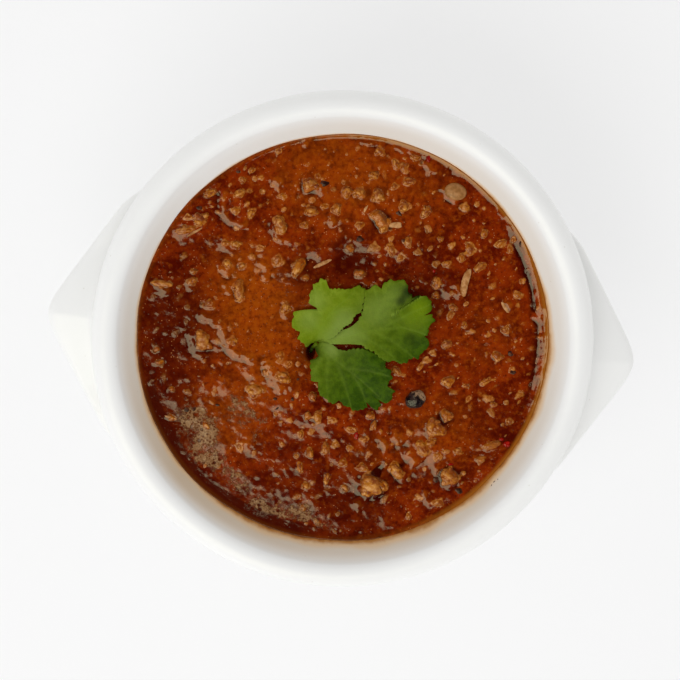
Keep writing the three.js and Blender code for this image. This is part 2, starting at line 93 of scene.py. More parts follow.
# Crumbles of mince that stand out: x, y, length, width, turn in degrees, and from 0 to 1 how proud they stand
LUMPS = (
    (-40.7, 38.1, 4.0, 2.3, 30, 0.8), (-46.3, 30.7, 2.8, 2.0, 5, 0.4), (-42.8, 30.4, 4.0, 3.4, 25, 1.0),
    (-46.8, 27.2, 6.2, 2.3, 15, 0.8), (-29.8, 45.4, 2.0, 1.7, 5, 0.7), (-32.1, 42.6, 2.3, 1.7, 155, 0.7),
    (-32.6, 38.8, 3.7, 2.3, 25, 0.7), (-33.2, 33.9, 3.1, 2.5, 5, 0.5), (-28.9, 33.4, 3.7, 2.5, 75, 0.5),
    (-22.7, 51.5, 2.3, 1.7, 5, 0.5), (-20.4, 30.8, 6.2, 3.4, 110, 0.8), (-35.5, 24.5, 2.3, 2.0, 5, 0.7),
    (-32.3, 24.2, 2.8, 2.5, 5, 0.9), (-27.5, 21.2, 2.0, 1.7, 5, 0.7), (-20.4, 20.7, 4.2, 4.0, 5, 0.5),
    (-34.1, 18.6, 3.4, 2.3, 125, 0.7), (-30.1, 18.4, 2.8, 2.0, 5, 0.6), (-43.5, 15.7, 2.3, 1.7, 5, 0.8),
    (-43.8, 12.8, 3.4, 2.5, 25, 0.6), (-52.1, 11.4, 6.8, 2.3, 177, 0.6), (-30.3, 11.2, 7.3, 3.1, 100, 1.0),
    (-13.1, 42.9, 4.5, 3.4, 15, 1.0), (-11.3, 45.4, 1.7, 1.7, 5, 0.6), (-12.1, 35.6, 3.4, 3.1, 5, 0.9),
    (-12.1, 38.7, 1.7, 1.7, 5, 0.6), (-13.7, 31.4, 2.3, 2.0, 5, 0.8), (-5.1, 36.8, 3.4, 2.8, 95, 0.8),
    (-14.3, 19.3, 6.8, 3.4, 65, 0.6), (-16.9, 7.5, 4.0, 2.8, 85, 0.9), (-39.4, -3.7, 6.2, 4.0, 100, 1.0),
    (-30.9, -3.0, 3.1, 2.5, 5, 0.8), (-38.4, 7.3, 2.3, 1.7, 5, 0.6), (-12.0, 16.6, 2.5, 1.7, 5, 0.6),
    (5.5, 54.1, 2.8, 2.5, 5, 0.8), (15.5, 53.1, 3.4, 1.7, 175, 0.7), (10.3, 50.8, 3.7, 2.0, 115, 0.7),
    (12.7, 49.9, 3.4, 2.3, 105, 0.6), (4.4, 47.1, 3.1, 2.3, 165, 0.8), (-2.7, 41.9, 3.4, 2.8, 65, 1.0),
    (0.9, 41.9, 3.7, 3.1, 5, 0.8), (6.1, 41.6, 4.2, 3.4, 95, 1.0), (10.6, 44.6, 2.3, 2.0, 5, 0.7),
    (14.2, 46.3, 3.7, 2.3, 15, 0.9), (13.7, 39.1, 3.4, 3.1, 5, 0.8), (20.0, 38.2, 4.0, 2.5, 65, 1.0),
    (7.6, 34.8, 6.8, 4.2, 130, 1.0), (1.8, 32.8, 2.3, 2.3, 5, 0.6), (21.0, 33.5, 2.5, 2.0, 95, 0.5),
    (24.7, 30.9, 2.0, 1.4, 155, 0.8), (-0.4, 26.0, 3.1, 2.8, 5, 0.5), (6.3, 26.9, 3.4, 3.1, 5, 0.5),
    (11.1, 26.8, 4.5, 2.5, 125, 0.6), (15.7, 29.2, 3.4, 2.3, 95, 0.7), (3.1, 18.9, 4.0, 3.1, 5, 0.5),
    (28.2, 29.5, 2.3, 1.7, 35, 0.6), (33.4, 28.9, 4.5, 3.1, 100, 0.6), (31.1, 26.1, 2.8, 2.0, 95, 0.8),
    (27.3, 24.0, 3.1, 2.0, 25, 0.5), (36.7, 24.0, 4.2, 2.3, 35, 0.8), (36.9, 33.5, 2.8, 2.0, 85, 0.9),
    (41.7, 31.1, 4.0, 2.5, 35, 0.5), (45.2, 32.5, 2.3, 1.7, 65, 0.6), (25.0, 18.3, 4.0, 2.5, 85, 0.9),
    (25.0, 14.9, 2.3, 2.0, 5, 0.8), (30.1, 11.9, 2.5, 2.0, 165, 0.9), (34.0, 7.1, 2.3, 1.4, 95, 0.8),
    (45.6, 6.7, 2.5, 2.3, 5, 0.6), (29.4, 1.2, 3.4, 2.3, 35, 0.9), (24.2, -3.9, 2.3, 2.0, 5, 0.6),
    (30.9, -9.3, 4.0, 2.8, 25, 1.0), (44.1, -0.9, 3.4, 2.5, 155, 0.9), (36.1, -10.2, 2.5, 1.4, 175, 0.7),
    (41.4, -8.6, 4.0, 1.7, 35, 0.7), (44.5, -14.9, 2.3, 1.4, 175, 0.7), (49.5, -19.3, 2.5, 2.0, 5, 0.6),
    (31.3, -19.0, 4.0, 2.8, 135, 1.0), (28.5, -23.0, 5.7, 4.0, 155, 1.0), (27.5, -27.1, 3.4, 2.3, 25, 0.8),
    (25.7, -29.3, 5.1, 3.4, 125, 0.9), (35.6, -29.2, 2.5, 2.3, 5, 0.7), (32.3, -29.5, 2.3, 1.4, 5, 0.7),
    (45.0, -26.6, 5.7, 2.3, 20, 0.8), (34.0, -36.6, 6.2, 4.5, 155, 1.0), (18.7, -36.3, 5.7, 3.4, 130, 0.9),
    (8.8, -28.0, 3.4, 1.7, 10, 0.5), (4.9, -30.9, 2.3, 1.7, 5, 0.6), (3.3, -35.4, 2.8, 2.3, 5, 0.7),
    (9.0, -36.3, 3.4, 2.3, 175, 0.8), (12.3, -40.9, 7.9, 5.7, 155, 1.0), (31.4, -44.6, 3.4, 2.8, 5, 0.6),
    (9.9, -21.0, 2.5, 2.3, 5, 0.8), (16.0, -7.5, 3.4, 2.0, 135, 0.8), (-50.9, -11.1, 3.4, 2.3, 5, 0.4),
    (-23.4, -16.6, 4.8, 3.7, 15, 0.7), (-15.9, -12.2, 4.5, 3.4, 165, 0.8),
    (-42.3, -18.7, 2.3, 1.4, 165, 0.8), (-7.0, -16.8, 2.8, 2.0, 105, 1.0),
    (-7.8, -22.6, 2.5, 2.0, 95, 1.0), (-5.0, -22.7, 3.4, 2.5, 95, 1.0), (-9.3, -28.2, 2.8, 1.7, 95, 0.7),
    (-6.3, -33.1, 3.7, 2.0, 105, 0.9), (-1.9, -31.6, 3.7, 2.3, 95, 0.9), (-8.7, -37.7, 4.0, 1.7, 105, 0.7),
    (-6.5, -42.9, 2.8, 2.3, 5, 0.6), (-0.8, -40.4, 4.0, 1.7, 85, 0.7), (-46.8, -18.2, 2.0, 1.7, 5, 0.6),
)

# Granules thrown at random: how many tries, least and greatest radius, lowest and highest top over the sauce
GRANULE_KINDS = ((520, 1.2, 1.9, -0.9, 0.25), (620, 0.75, 1.15, -0.6, 0.12), (800, 0.35, 0.7, -0.3, 0.10))
LUMP_FULLNESS = 1.18
SMOOTH_AREAS = (
    (-24.0, 5.0, 13.0), (-31.0, -24.0, 14.0), (-52.0, -4.0, 10.0), (-20.0, -42.0, 11.0), (8.0, -52.0, 8.0),
)
CRUMB_RADIUS = 1.1  # granules smaller than this are made as crumbs, with few faces
CORE_FULLNESS = 0.65  # a crumble's half height as a share of its half width
CLUSTER_LEAST = 1.1  # granules with a longer half length than this are clusters of several
BARE = 0.20  # how far a crumble stands out of the sauce that clings to it, and how much that varies
BARE_VARIATION = 0.13

# Swells and dents in the sauce itself: x, y, length, width, turn in degrees, height
SWELLS = (
    (-31.2, 36.8, 10.0, 9.0, 0, 0.5), (-26.0, -2.2, 26.0, 10.0, -33, 0.25),
    (-38.4, -2.0, 9.0, 8.0, 0, 0.4), (26.0, -26.0, 18.0, 12.0, -30, 0.5),
    (12.4, -39.4, 11.0, 9.0, 20, 0.4), (-46.0, 29.0, 12.0, 8.0, 60, 0.4), (1.5, 22.6, 15.0, 9.0, 10, -0.5),
    (13.0, 22.0, 9.0, 7.0, 10, -0.4), (-11.0, 20.0, 7.0, 6.0, 0, -0.5), (13.4, -37.0, 5.0, 3.0, 60, -0.6),
    (25.0, 14.0, 9.0, 6.0, 90, -0.4), (-8.5, -3.9, 2.2, 4.6, 0, -2.6),
)

# Slopes of sauce that face the lamp: width, then the points that the slope runs along
FLANKS = (
    (2.1, (-37.5, 39.8), (-37.9, 35.7), (-37.1, 32.4), (-34.6, 30.0), (-31.7, 29.4), (-28.6, 29.4)),
    (1.7, (-23.7, 31.6), (-22.5, 28.6), (-20.6, 26.2), (-16.3, 25.7)), (2.3, (-24.5, 43.3), (-21.7, 41.0)),
    (2.0, (-15.2, 44.5), (-13.0, 42.6), (-9.2, 40.7)), (1.4, (-16.3, 53.8), (-14.0, 53.2)),
    (1.7, (-7.8, 35.1), (-6.5, 33.2), (-5.7, 31.3)), (2.3, (-37.1, 17.7), (-35.3, 16.2), (-33.2, 14.9)),
    (2.3, (-26.1, 18.7), (-22.9, 17.6)), (1.1, (-46.4, 13.4), (-45.0, 11.2), (-43.5, 10.0)),
    (2.0, (-53.7, 9.3), (-49.6, 8.5)), (1.7, (-37.3, 23.2), (-35.0, 21.9)),
    (
        2.5, (-41.1, 2.4), (-37.6, 1.9), (-34.9, 0.4), (-34.0, -3.2), (-32.3, -6.2), (-28.2, -7.9),
        (-24.2, -8.6)),
    (2.8, (-22.0, -7.9), (-20.9, -10.6), (-17.9, -14.7), (-16.0, -17.4)),
    (1.4, (-43.9, -1.0), (-42.7, -4.6), (-41.5, -8.2), (-38.1, -8.5)), (1.7, (-24.4, 15.2), (-22.1, 14.8)),
    (1.4, (-35.0, 13.0), (-33.5, 9.7)), (2.0, (-39.7, 6.3), (-38.2, 5.0)),
    (1.4, (-18.1, 5.7), (-16.0, 4.2)), (1.7, (22.8, 45.1), (25.3, 42.2), (28.5, 41.0)),
    (0.7, (-0.4, 55.6), (6.7, 55.4)), (0.9, (8.1, 55.2), (16.3, 53.2)), (1.7, (17.4, 54.4), (19.6, 48.3)),
    (1.4, (22.6, 52.9), (25.3, 51.1)), (1.7, (26.2, 50.6), (28.4, 48.5)),
    (0.7, (34.2, 46.2), (37.6, 43.0)), (0.7, (39.6, 40.6), (41.8, 38.0)),
    (0.8, (43.0, 36.6), (45.6, 33.2)), (2.6, (46.2, 33.8), (50.0, 27.0), (52.7, 19.2), (54.2, 12.1)),
    (2.0, (52.0, 11.1), (55.9, 9.4)), (1.1, (55.6, 6.5), (56.6, 2.3), (56.8, -6.3)),
    (2.0, (29.3, 18.1), (31.6, 14.3)), (1.4, (44.6, 14.7), (46.6, 11.7)),
    (2.3, (19.6, -30.4), (21.5, -32.8), (24.5, -34.9)), (2.3, (12.4, -26.8), (13.5, -29.3), (15.1, -31.4)),
    (2.0, (15.9, -24.5), (17.1, -28.1), (18.7, -29.9)), (1.7, (18.1, -35.7), (19.5, -38.5), (20.7, -39.8)),
    (2.0, (31.5, -36.2), (33.7, -39.2), (35.3, -40.5)),
    (2.3, (7.6, -39.6), (9.1, -42.9), (12.6, -44.0), (13.8, -45.0)), (2.3, (6.9, -46.8), (9.3, -48.6)),
    (1.7, (26.0, -41.6), (27.4, -44.4), (29.0, -46.5)), (1.7, (28.8, -35.0), (30.3, -36.3)),
    (2.5, (-26.8, -31.9), (-23.8, -33.9)), (0.18, (-37.7, -40.1), (-33.7, -43.4), (-27.8, -46.3)),
    (0.18, (-11.5, -53.4), (-7.2, -54.5), (-3.1, -54.9)),
)
FLANK_SLOPE = 0.34
FLANK_DECLINE = 2.2  # how slowly a slope sinks back, in widths
FLANK_SLIMNESS = 0.68
CALM_POOL = (-51.0, -4.0, 13.0)  # x, y and reach

# The sauce's own unevenness: how high its swells are, and how wide
SAUCE_SWELLS = ((0.10, 5.0), (0.055, 1.8), (0.020, 0.5))
PIT_SIZE = 0.42
PIT_DEPTH = 0.11
LUMP_ROUGHNESS = 0.075
LUMP_ROUGHNESS_SIZE = 0.36
FAR_DOWN = -6.0  # the height of the mince where there is none
SKIPPED_IN_SMOOTH = 0.75  # share of the random granules left out in the smooth areas
GRANULE_OVERLAP = 0.25
GRANULE_FIELD = 57.0  # half the side of the square they are thrown in
GRANULE_LIMIT = 56.5  # how far out from the middle they may reach
SOFT_SWELLS = ((0.24, 0.8), (0.08, 2.0))  # how the sauce swells over mince: share of its height, and spread
COAT_SPREAD = 0.28
COAT_DIP = 0.35

# A crumble is a ball that knobs stand out from, and is rough all over: shares of its half sizes
BALL_SHARE, KNOB_SHARE, ROUGH_SHARE = 0.80, 0.30, 0.06
KNOB_SPREADS = (0.72, 0.88)
KNOB_HEIGHTS = (0.6, 1.0)
CRUMBLE_SIZE = 0.94  # of the space its granule takes
CRUMBLE_SINK = 0.86  # how deep its middle lies under its top, as a share of its half height
CRUMB_LEAST_OUT = 0.20  # crumbs that stand out less are left out
LARGE_CRUMBLE = 1.7  # a longer half length than this gets more faces
STEW_SEED, GRANULE_SEED, CRUMBLE_SEED = 11, 5, 21

# ---------------------------------------------------------------- sizes: what lies on the stew
# Each piece's middle, sizes, turn, how far its middle lies over the sauce, and its wrinkles' depth and size
BLACK_BEAN = {
    "x": 22.1, "y": -15.2, "length": 6.8, "width": 5.6, "height": 4.6, "turn": 35, "rise": 0.5,
    "wrinkle": 0.22, "wrinkle_size": 1.5,
}
PALE_BEAN = {
    "x": 27.6, "y": 44.6, "length": 6.4, "width": 5.0, "height": 2.6, "turn": 170, "rise": 0.2,
    "wrinkle": 0.05, "wrinkle_size": 3.2,
}
ONION = {
    "x": 33.4, "y": 19.2, "length": 8.6, "width": 2.2, "height": 1.8, "turn": 82, "rise": 0.3,
    "wrinkle": 0.10, "wrinkle_size": 1.2, "bow": 0.6, "blunt": 0.6,
}

# Pale slivers, dark flecks and red flakes that lie on the sauce: x, y, length, width, turn in degrees
SLIVERS = (
    (11.6, 33.7, 4.2, 2.0, 5), (44.7, 13.3, 4.2, 1.4, 127), (-43.9, 26.9, 5.7, 0.8, 35),
    (36.7, 24.0, 2.3, 1.1, 35), (-46.6, -26.5, 4.0, 0.8, 170), (-7.6, 21.0, 7.3, 1.4, 30),
    (3.0, 37.5, 2.5, 0.8, 65),
)
FLECKS = (
    (2.1, 28.8, 3.1, 2.3, 5), (12.5, 37.0, 2.3, 1.7, 145), (14.6, 29.4, 2.0, 1.7, 5),
    (-9.2, 43.6, 2.0, 2.8, 95), (-33.4, 44.8, 1.7, 1.1, 5), (-43.4, 33.5, 2.5, 1.4, 5),
    (-52.6, -13.9, 2.8, 1.7, 5), (-42.3, -24.1, 2.3, 2.0, 5), (-40.1, -23.6, 1.7, 1.7, 5),
    (47.7, 0.0, 2.3, 2.3, 5), (49.0, -5.3, 2.3, 1.7, 5), (30.2, -38.1, 2.5, 2.5, 5),
    (37.3, -40.9, 3.1, 2.5, 165), (-17.3, -18.6, 2.0, 1.4, 5), (-12.5, -18.2, 1.4, 1.4, 5),
    (-11.6, -12.4, 1.4, 1.1, 5), (-14.8, -32.8, 2.0, 1.4, 5), (47.3, 31.6, 1.1, 2.3, 5),
    (-33.4, -21.9, 1.7, 1.1, 5), (10.4, -23.0, 4.0, 0.6, 47), (-16.5, -21.1, 2.3, 0.8, 45),
    (46.7, -36.7, 0.9, 0.5, 40), (46.0, -37.8, 0.6, 0.4, 60), (47.6, -35.9, 0.5, 0.4, 20),
)
FLAKES = (
    (49.2, -26.0, 2.3, 2.0, 5), (47.7, -24.7, 1.4, 1.1, 5), (6.5, -27.1, 2.3, 1.4, 95),
    (34.0, -33.1, 1.7, 0.8, 5), (19.2, 53.1, 1.4, 2.3, 5), (23.8, 21.7, 1.1, 1.1, 5),
)

LEAF_THICKNESS = 0.28
LEAF_LIFT = 1.45
LEAF_WAVE = 0.85
LEAF_HUB = (-7.4, -1.6)

# Each lobe's middle and its reach: degrees round the middle, millimetres out
LOBES = {
    "left": ((-4.4, 7.8), (
        (0, 7.5), (7, 9.0), (20, 9.7), (37, 11.9), (41, 11.3), (47, 11.2), (52, 8.9), (62, 7.6), (94, 6.5),
        (100, 7.6), (102, 9.2), (111, 10.0), (116, 9.0), (126, 9.3), (130, 8.2), (143, 7.8), (153, 6.6),
        (160, 6.8), (167, 3.8), (177, 3.3), (181, 7.0), (185, 10.3), (193, 10.2), (201, 11.2), (209, 11.4),
        (218, 10.2), (222, 10.6), (225, 11.9), (234, 11.6), (242, 12.1), (245, 10.7), (250, 9.8),
        (262, 8.6), (282, 7.4), (300, 6.2), (321, 5.8), (330, 6.3), (344, 6.9), (353, 6.8),
    )),
    "middle": ((14.0, 5.5), (
        (5, 9.8), (12, 11.6), (19, 11.1), (22.5, 11.1), (24, 8.8), (26, 11.2), (38, 12.4), (49, 12.3),
        (57, 10.8), (63, 9.3), (67, 10.2), (74, 10.3), (77, 12.3), (84, 13.3), (88, 13.4), (93, 12.6),
        (99, 13.3), (103, 12.7), (107, 12.7), (114, 11.0), (120, 12.7), (123, 12.8), (128, 12.3),
        (134, 12.9), (142, 11.4), (158, 10.0), (168, 9.8), (180, 10.6), (188, 12.7), (195, 19.2),
        (198, 22.0), (201, 19.6), (204, 16.2), (207, 13.6), (215, 10.5), (221, 10.4), (237, 9.3),
        (265, 10.6), (276, 10.0), (283, 10.9), (294, 11.2), (299, 10.6), (306, 10.7), (310, 11.8),
        (319, 11.1), (335, 11.5), (343, 10.5), (345, 9.0), (349, 9.9),
    )),
    "lower": ((3.5, -10.1), (
        (3, 11.5), (8, 11.1), (16, 11.1), (21, 9.6), (28, 10.5), (55, 9.1), (74, 8.7), (99, 7.9),
        (108, 7.6), (121, 8.6), (127, 11.0), (135, 12.8), (143, 13.7), (149, 12.9), (153, 10.9),
        (162, 12.4), (165, 12.6), (175, 11.8), (191, 11.4), (194, 9.6), (209, 10.3), (218, 10.3),
        (223, 9.7), (239, 9.6), (243, 9.0), (248, 7.6), (262, 8.8), (272, 8.8), (277, 9.8), (302, 9.9),
        (304.5, 8.0), (307, 10.6), (312, 11.9), (321, 11.6), (323.5, 9.6), (326, 12.2), (335, 13.1),
        (342, 12.4), (347, 12.9), (350, 10.5), (357, 10.4),
    )),
}
LOBE_STEPS = 300
LOBE_RINGS = 20
TEETH_DEPTH = 0.46
TEETH_COUNT = 41
PUFF_HEIGHT = 0.12  # between the veins
VEIN_DEPTH = 0.08
CURL_HEIGHT = 0.30  # at the edge
FUNNEL_DEPTH, FUNNEL_REACH = 0.8, 2.4  # round the hub
FOLD_HEIGHT, FOLD_REACH = 0.75, 2.6
FOLD = ((12.6, 8.2), (14.6, 10.2), (18.3, 13.4), (21.6, 15.5))  # the middle lobe's raised crease
STALK = ((-7.4, -1.8, 54.6), (-8.2, -3.0, 53.4), (-8.6, -4.4, 51.6))
STALK_RADIUS = 0.5

# Veins of each lobe, as points from its base outwards
VEINS = {
    "left": (
        ((-7.0, 0.2), (-5.6, 5.0), (-3.0, 9.0), (1.6, 13.4)), ((-5.8, 4.4), (-8.6, 9.6), (-9.4, 14.6)),
        ((-6.6, 2.2), (-11.0, 5.4), (-14.0, 8.6)), ((-4.4, 7.0), (-0.6, 8.6), (2.8, 9.6)),
    ),
    "middle": (
        ((-5.0, -1.0), (1.4, 1.2), (6.0, 3.2), (13.0, 10.6), (16.2, 17.6)),
        ((6.0, 3.2), (16.0, 5.0), (24.4, 3.4)), ((9.0, 6.2), (8.6, 12.0), (7.2, 16.0)),
        ((10.0, 3.9), (18.0, 9.4), (23.2, 12.2)), ((8.0, 3.4), (15.0, 0.4), (20.8, -3.6)),
        ((4.6, 2.2), (10.6, -1.0), (14.6, -3.4)),
    ),
    "lower": (
        ((-5.6, -3.4), (-0.6, -6.6), (6.0, -11.0), (11.6, -15.2)),
        ((-3.8, -4.6), (-3.6, -11.4), (-2.6, -17.6)), ((-1.6, -5.8), (1.6, -12.6), (4.0, -18.6)),
        ((1.6, -8.0), (8.0, -8.2), (14.0, -9.0)), ((3.4, -9.2), (6.4, -13.6), (8.6, -17.8)),
        ((-5.0, -4.0), (-7.4, -9.6), (-8.4, -13.6)),
    ),
}
VEIN_WIDTH = 0.5
LOBE_LAYER = {"left": 0.35, "middle": 0.12, "lower": -0.1}  # how the lobes overlap
# Painted light and shade: how light each lobe is painted, from dark to light green
LOBE_PAINTED_LIGHT = {"left": 0.85, "middle": 0.30, "lower": 0.08}  # from dark to light green

# ---------------------------------------------------------------- the camera and the light
VIEW_ELEVATION = 80.5
VIEW_SIDE = (-0.26, 0.96)
VIEW_ROLL = 5.3
VIEW_TARGET = (-1.0, 0.8, 59.8)
VIEW_DISTANCE = 800.0
VIEW_SPAN = 190.4  # width of the picture at the height of the rim

SOFTBOX_SIDE = (-0.495, -0.869)
SOFTBOX_LEAN = 42.0
SOFTBOX_SIZE = 860.0
SOFTBOX_DISTANCE = 900.0
SHEEN_RADIANCE = 3.5  # what the wet surfaces mirror
SHEEN_COLOUR = (1.0, 0.97, 0.62)
KEY_SIZE = 1300.0
KEY_DISTANCE = 1350.0
KEY_RADIANCE = 1.37  # what lights the matt surfaces
SKY_OVERHEAD = 0.745
SKY_HORIZON = 1.2
SKY_HORIZON_REACH = 0.6  # how far up the brighter horizon reaches, as the sine of its height
FLOOR_HALF_WIDTH = 3000.0
FLOOR_GAP = 0.2  # between the foot ring and the floor
FLOOR_ALBEDO = 0.5
FLOOR_GLOW = 0.425


# ---------------------------------------------------------------- small tools
def smoothstep(low, high, value):
    share = np.clip((value - low) / (high - low), 0.0, 1.0)
    return share * share * (3.0 - 2.0 * share)


def soft_max(a, b, softness):
    return 0.5 * (a + b + np.sqrt((a - b) ** 2 + softness ** 2))


def cubic(points, steps):
    """Points along a cubic curve with four control points, both ends included."""
    t = np.linspace(0.0, 1.0, steps)[:, None]
    p = [np.array(point, float) for point in points]
    return (1 - t) ** 3 * p[0] + 3 * t * (1 - t) ** 2 * p[1] + 3 * t ** 2 * (1 - t) * p[2] + t ** 3 * p[3]


def legs(line, x, y):
    """For each leg of a line: its number, its step, how far along it places lie, and their gaps to it."""
    points = np.array(line, float)
    for index, (first, step) in enumerate(zip(points[:-1], np.diff(points, axis=0))):
        share = ((x - first[0]) * step[0] + (y - first[1]) * step[1]) / (step @ step)
        inside = np.clip(share, 0.0, 1.0)
        yield index, step, share, (x - first[0] - inside * step[0], y - first[1] - inside * step[1])


def corners_of(verts):
    return np.array([vert.co for vert in verts])


def move(verts, corners):
    for vert, corner in zip(verts, corners):
        vert.co = corner


def turned(x, y, turn):
    """Places turned round the origin, by degrees."""
    c, s = math.cos(math.radians(turn)), math.sin(math.radians(turn))
    return x * c - y * s, x * s + y * c


def finished(name, form, material, replaces=()):
    """Turns a form in millimetres into a piece of the object."""
    bmesh.ops.transform(form, matrix=Matrix.Scale(MM, 4), verts=form.verts)
    mesh = bpy.data.meshes.new(name)
    form.to_mesh(mesh)
    form.free()
    mesh.shade_smooth()
    mesh.materials.append(material)
    piece = bpy.data.objects.new(name, mesh)
    bpy.context.collection.objects.link(piece)
    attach(piece, "root")
    if replaces:
        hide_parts(*replaces)
    return piece


def give_values(piece, name, values):
    """Stores one number at each corner for the material to read."""
    layer = piece.data.attributes.new(name, "FLOAT", "POINT")
    layer.data.foreach_set("value", np.asarray(values, np.float32))


def places_of(piece):
    """The piece's corners in millimetres."""
    flat = np.empty(len(piece.data.vertices) * 3, np.float32)
    piece.data.vertices.foreach_get("co", flat)
    return flat.reshape(-1, 3) / MM


# ---------------------------------------------------------------- small tools for materials
# A tool without a tree of its own works in the tree that its first socket belongs to.
def linear(red, green, blue):
    """A colour as it shows on a screen, from 0 to 255, as the light it stands for."""
    def light(value):
        share = value / 255.0
        return share / 12.92 if share <= 0.04045 else ((share + 0.055) / 1.055) ** 2.4
    return (light(red), light(green), light(blue), 1.0)


def add(tree, kind, inputs=None, **settings):
    """Adds one node. An input is a plain value or another node's output."""
    node = tree.nodes.new("ShaderNode" + kind)
    for name, value in settings.items():
        setattr(node, name, value)
    for key, value in (inputs or {}).items():
        socket = node.inputs[key]
        if isinstance(value, bpy.types.NodeSocket):
            tree.links.new(value, socket)
        else:
            socket.default_value = value
    return node


def object_point(tree):
    return add(tree, "TexCoord").outputs["Object"]


def grain(point, period, detail=2.0, roughness=0.5):
    """Soft noise whose blotches are about the given size in millimetres."""
    inputs = {"Vector": point, "Scale": 1.0 / (period * MM), "Detail": detail, "Roughness": roughness}
    return add(point.id_data, "TexNoise", inputs).outputs["Fac"]


def spots(point, period):
    """Distance to the nearest of scattered points that lie about the given size apart."""
    inputs = {"Vector": point, "Scale": 1.0 / (period * MM)}
    return add(point.id_data, "TexVoronoi", inputs).outputs["Distance"]


def ramp(value, low, high, start=0.0, end=1.0):
    """Goes smoothly from start to end while the value goes from low to high."""
    inputs = {"Value": value, "From Min": low, "From Max": high, "To Min": start, "To Max": end}
    return add(value.id_data, "MapRange", inputs, interpolation_type="SMOOTHSTEP").outputs["Result"]


def reckon(operation, a, b, clamp=False):
    tree = (b if isinstance(a, float) else a).id_data
    return add(tree, "Math", {0: a, 1: b}, operation=operation, use_clamp=clamp).outputs[0]


def times(a, b, clamp=False):
    return reckon("MULTIPLY", a, b, clamp)


def plus(a, b):
    return reckon("ADD", a, b)


def rest_of(a):
    return reckon("SUBTRACT", 1.0, a)


def blend(share, first, second):
    """The first colour where the share is 0, the second where it is 1."""
    return add(share.id_data, "Mix", {0: share, 6: first, 7: second}, data_type="RGBA").outputs[2]


def tint(base, share, strength, colour):
    """Covers a colour with another one, at most at the given strength."""
    return blend(times(share, strength), base, linear(*colour))


def two_tone(value, low, high, first, second):
    """One colour where the value is low and another where it is high."""
    return blend(ramp(value, low, high), linear(*first), linear(*second))


def stored(tree, name):
    return add(tree, "Attribute", attribute_name=name).outputs["Fac"]


def bump(height, depth, normal=None):
    """Relief of the given depth in millimetres, which may lie on another relief's normal."""
    inputs = {"Height": height, "Distance": depth * MM, "Strength": 1.0}
    if normal is not None:
        inputs["Normal"] = normal
    return add(height.id_data, "Bump", inputs).outputs["Normal"]


def new_material(name, **values):
    """A material, its node tree and its shader, with plain values on the shader's own sockets."""
    material = bpy.data.materials.new(name)
    material.use_nodes = True
    shader = material.node_tree.nodes["Principled BSDF"]
    for key, value in values.items():
        shader.inputs[key.replace("_", " ")].default_value = value
    return material, material.node_tree, shader


def join(tree, shader, **sockets):
    for key, socket in sockets.items():
        tree.links.new(socket, shader.inputs[key.replace("_", " ")])


def crumb_group():
    """Crumbly relief and its colour break-up, as soy mince has: small balls packed with pits between them."""
    group = bpy.data.node_groups.new("crumb", "ShaderNodeTree")
    for in_out, name, kind in (
            ("INPUT", "Point", "Vector"), ("INPUT", "Scale", "Float"),
            ("OUTPUT", "Relief", "Float"), ("OUTPUT", "Break-up", "Float")):
        group.interface.new_socket(name, in_out=in_out, socket_type="NodeSocket" + kind)
    given = group.nodes.new("NodeGroupInput").outputs
    result = group.nodes.new("NodeGroupOutput").inputs
    point, scale = given["Point"], given["Scale"]
    warp = add(group, "TexNoise", {"Vector": point, "Scale": scale, "Detail": 1.0}).outputs["Color"]
    bend = add(group, "VectorMath", {0: warp, "Scale": 0.6 * MM}, operation="SCALE").outputs[0]
    bent = add(group, "VectorMath", {0: point, 1: bend}, operation="ADD").outputs[0]
    balls = add(group, "TexVoronoi", {"Vector": bent, "Scale": scale}, feature="SMOOTH_F1")
    inputs = {"Vector": point, "Scale": times(scale, 2.6), "Detail": 3.0, "Roughness": 0.6}
    fine = add(group, "TexNoise", inputs).outputs["Fac"]
    humps = rest_of(balls.outputs["Distance"])
    group.links.new(plus(humps, times(fine, 0.5)), result["Relief"])
    group.links.new(times(humps, fine), result["Break-up"])
    return group


def use_crumb(group, point, period):
    node = add(point.id_data, "Group", {"Point": point, "Scale": 1.0 / (period * MM)}, node_tree=group)
    return node.outputs["Relief"], node.outputs["Break-up"]


# ---------------------------------------------------------------- the bowl
def wall_radius(height):
    """The outer wall's radius at a height."""
    curve = cubic(((NECK_RADIUS, NECK_Z), *OUTER_PULLS, (RIM_RADIUS + RIM_HALF_WIDTH, RIM_MIDDLE_Z)), 400)
    return np.interp(height, curve[:, 1], curve[:, 0])


def inner_wall(rows):
    """The inner wall from the middle of the floor up to the mouth, as radius and height."""
    mouth_turn = math.acos((MOUTH_RADIUS - RIM_RADIUS) / RIM_HALF_WIDTH)
    mouth = (MOUTH_RADIUS, RIM_MIDDLE_Z + RIM_HALF_HEIGHT * math.sin(mouth_turn))
    slope = (MOUTH_RADIUS - CHILI_RADIUS) / (mouth[1] - CHILI_LEVEL)
    flare_end = (CHILI_RADIUS - slope * (CHILI_LEVEL - FLARE_END_Z), FLARE_END_Z)
    guide = (flare_end[0] - slope * FLARE_REACH, FLARE_END_Z - FLARE_REACH)
    curve = cubic(((0.0, FLOOR_Z), (INNER_FULLNESS, FLOOR_Z), guide, flare_end), rows)
    flare = np.linspace(flare_end, mouth, 12)[1:]
    return np.vstack((curve, flare)), mouth_turn


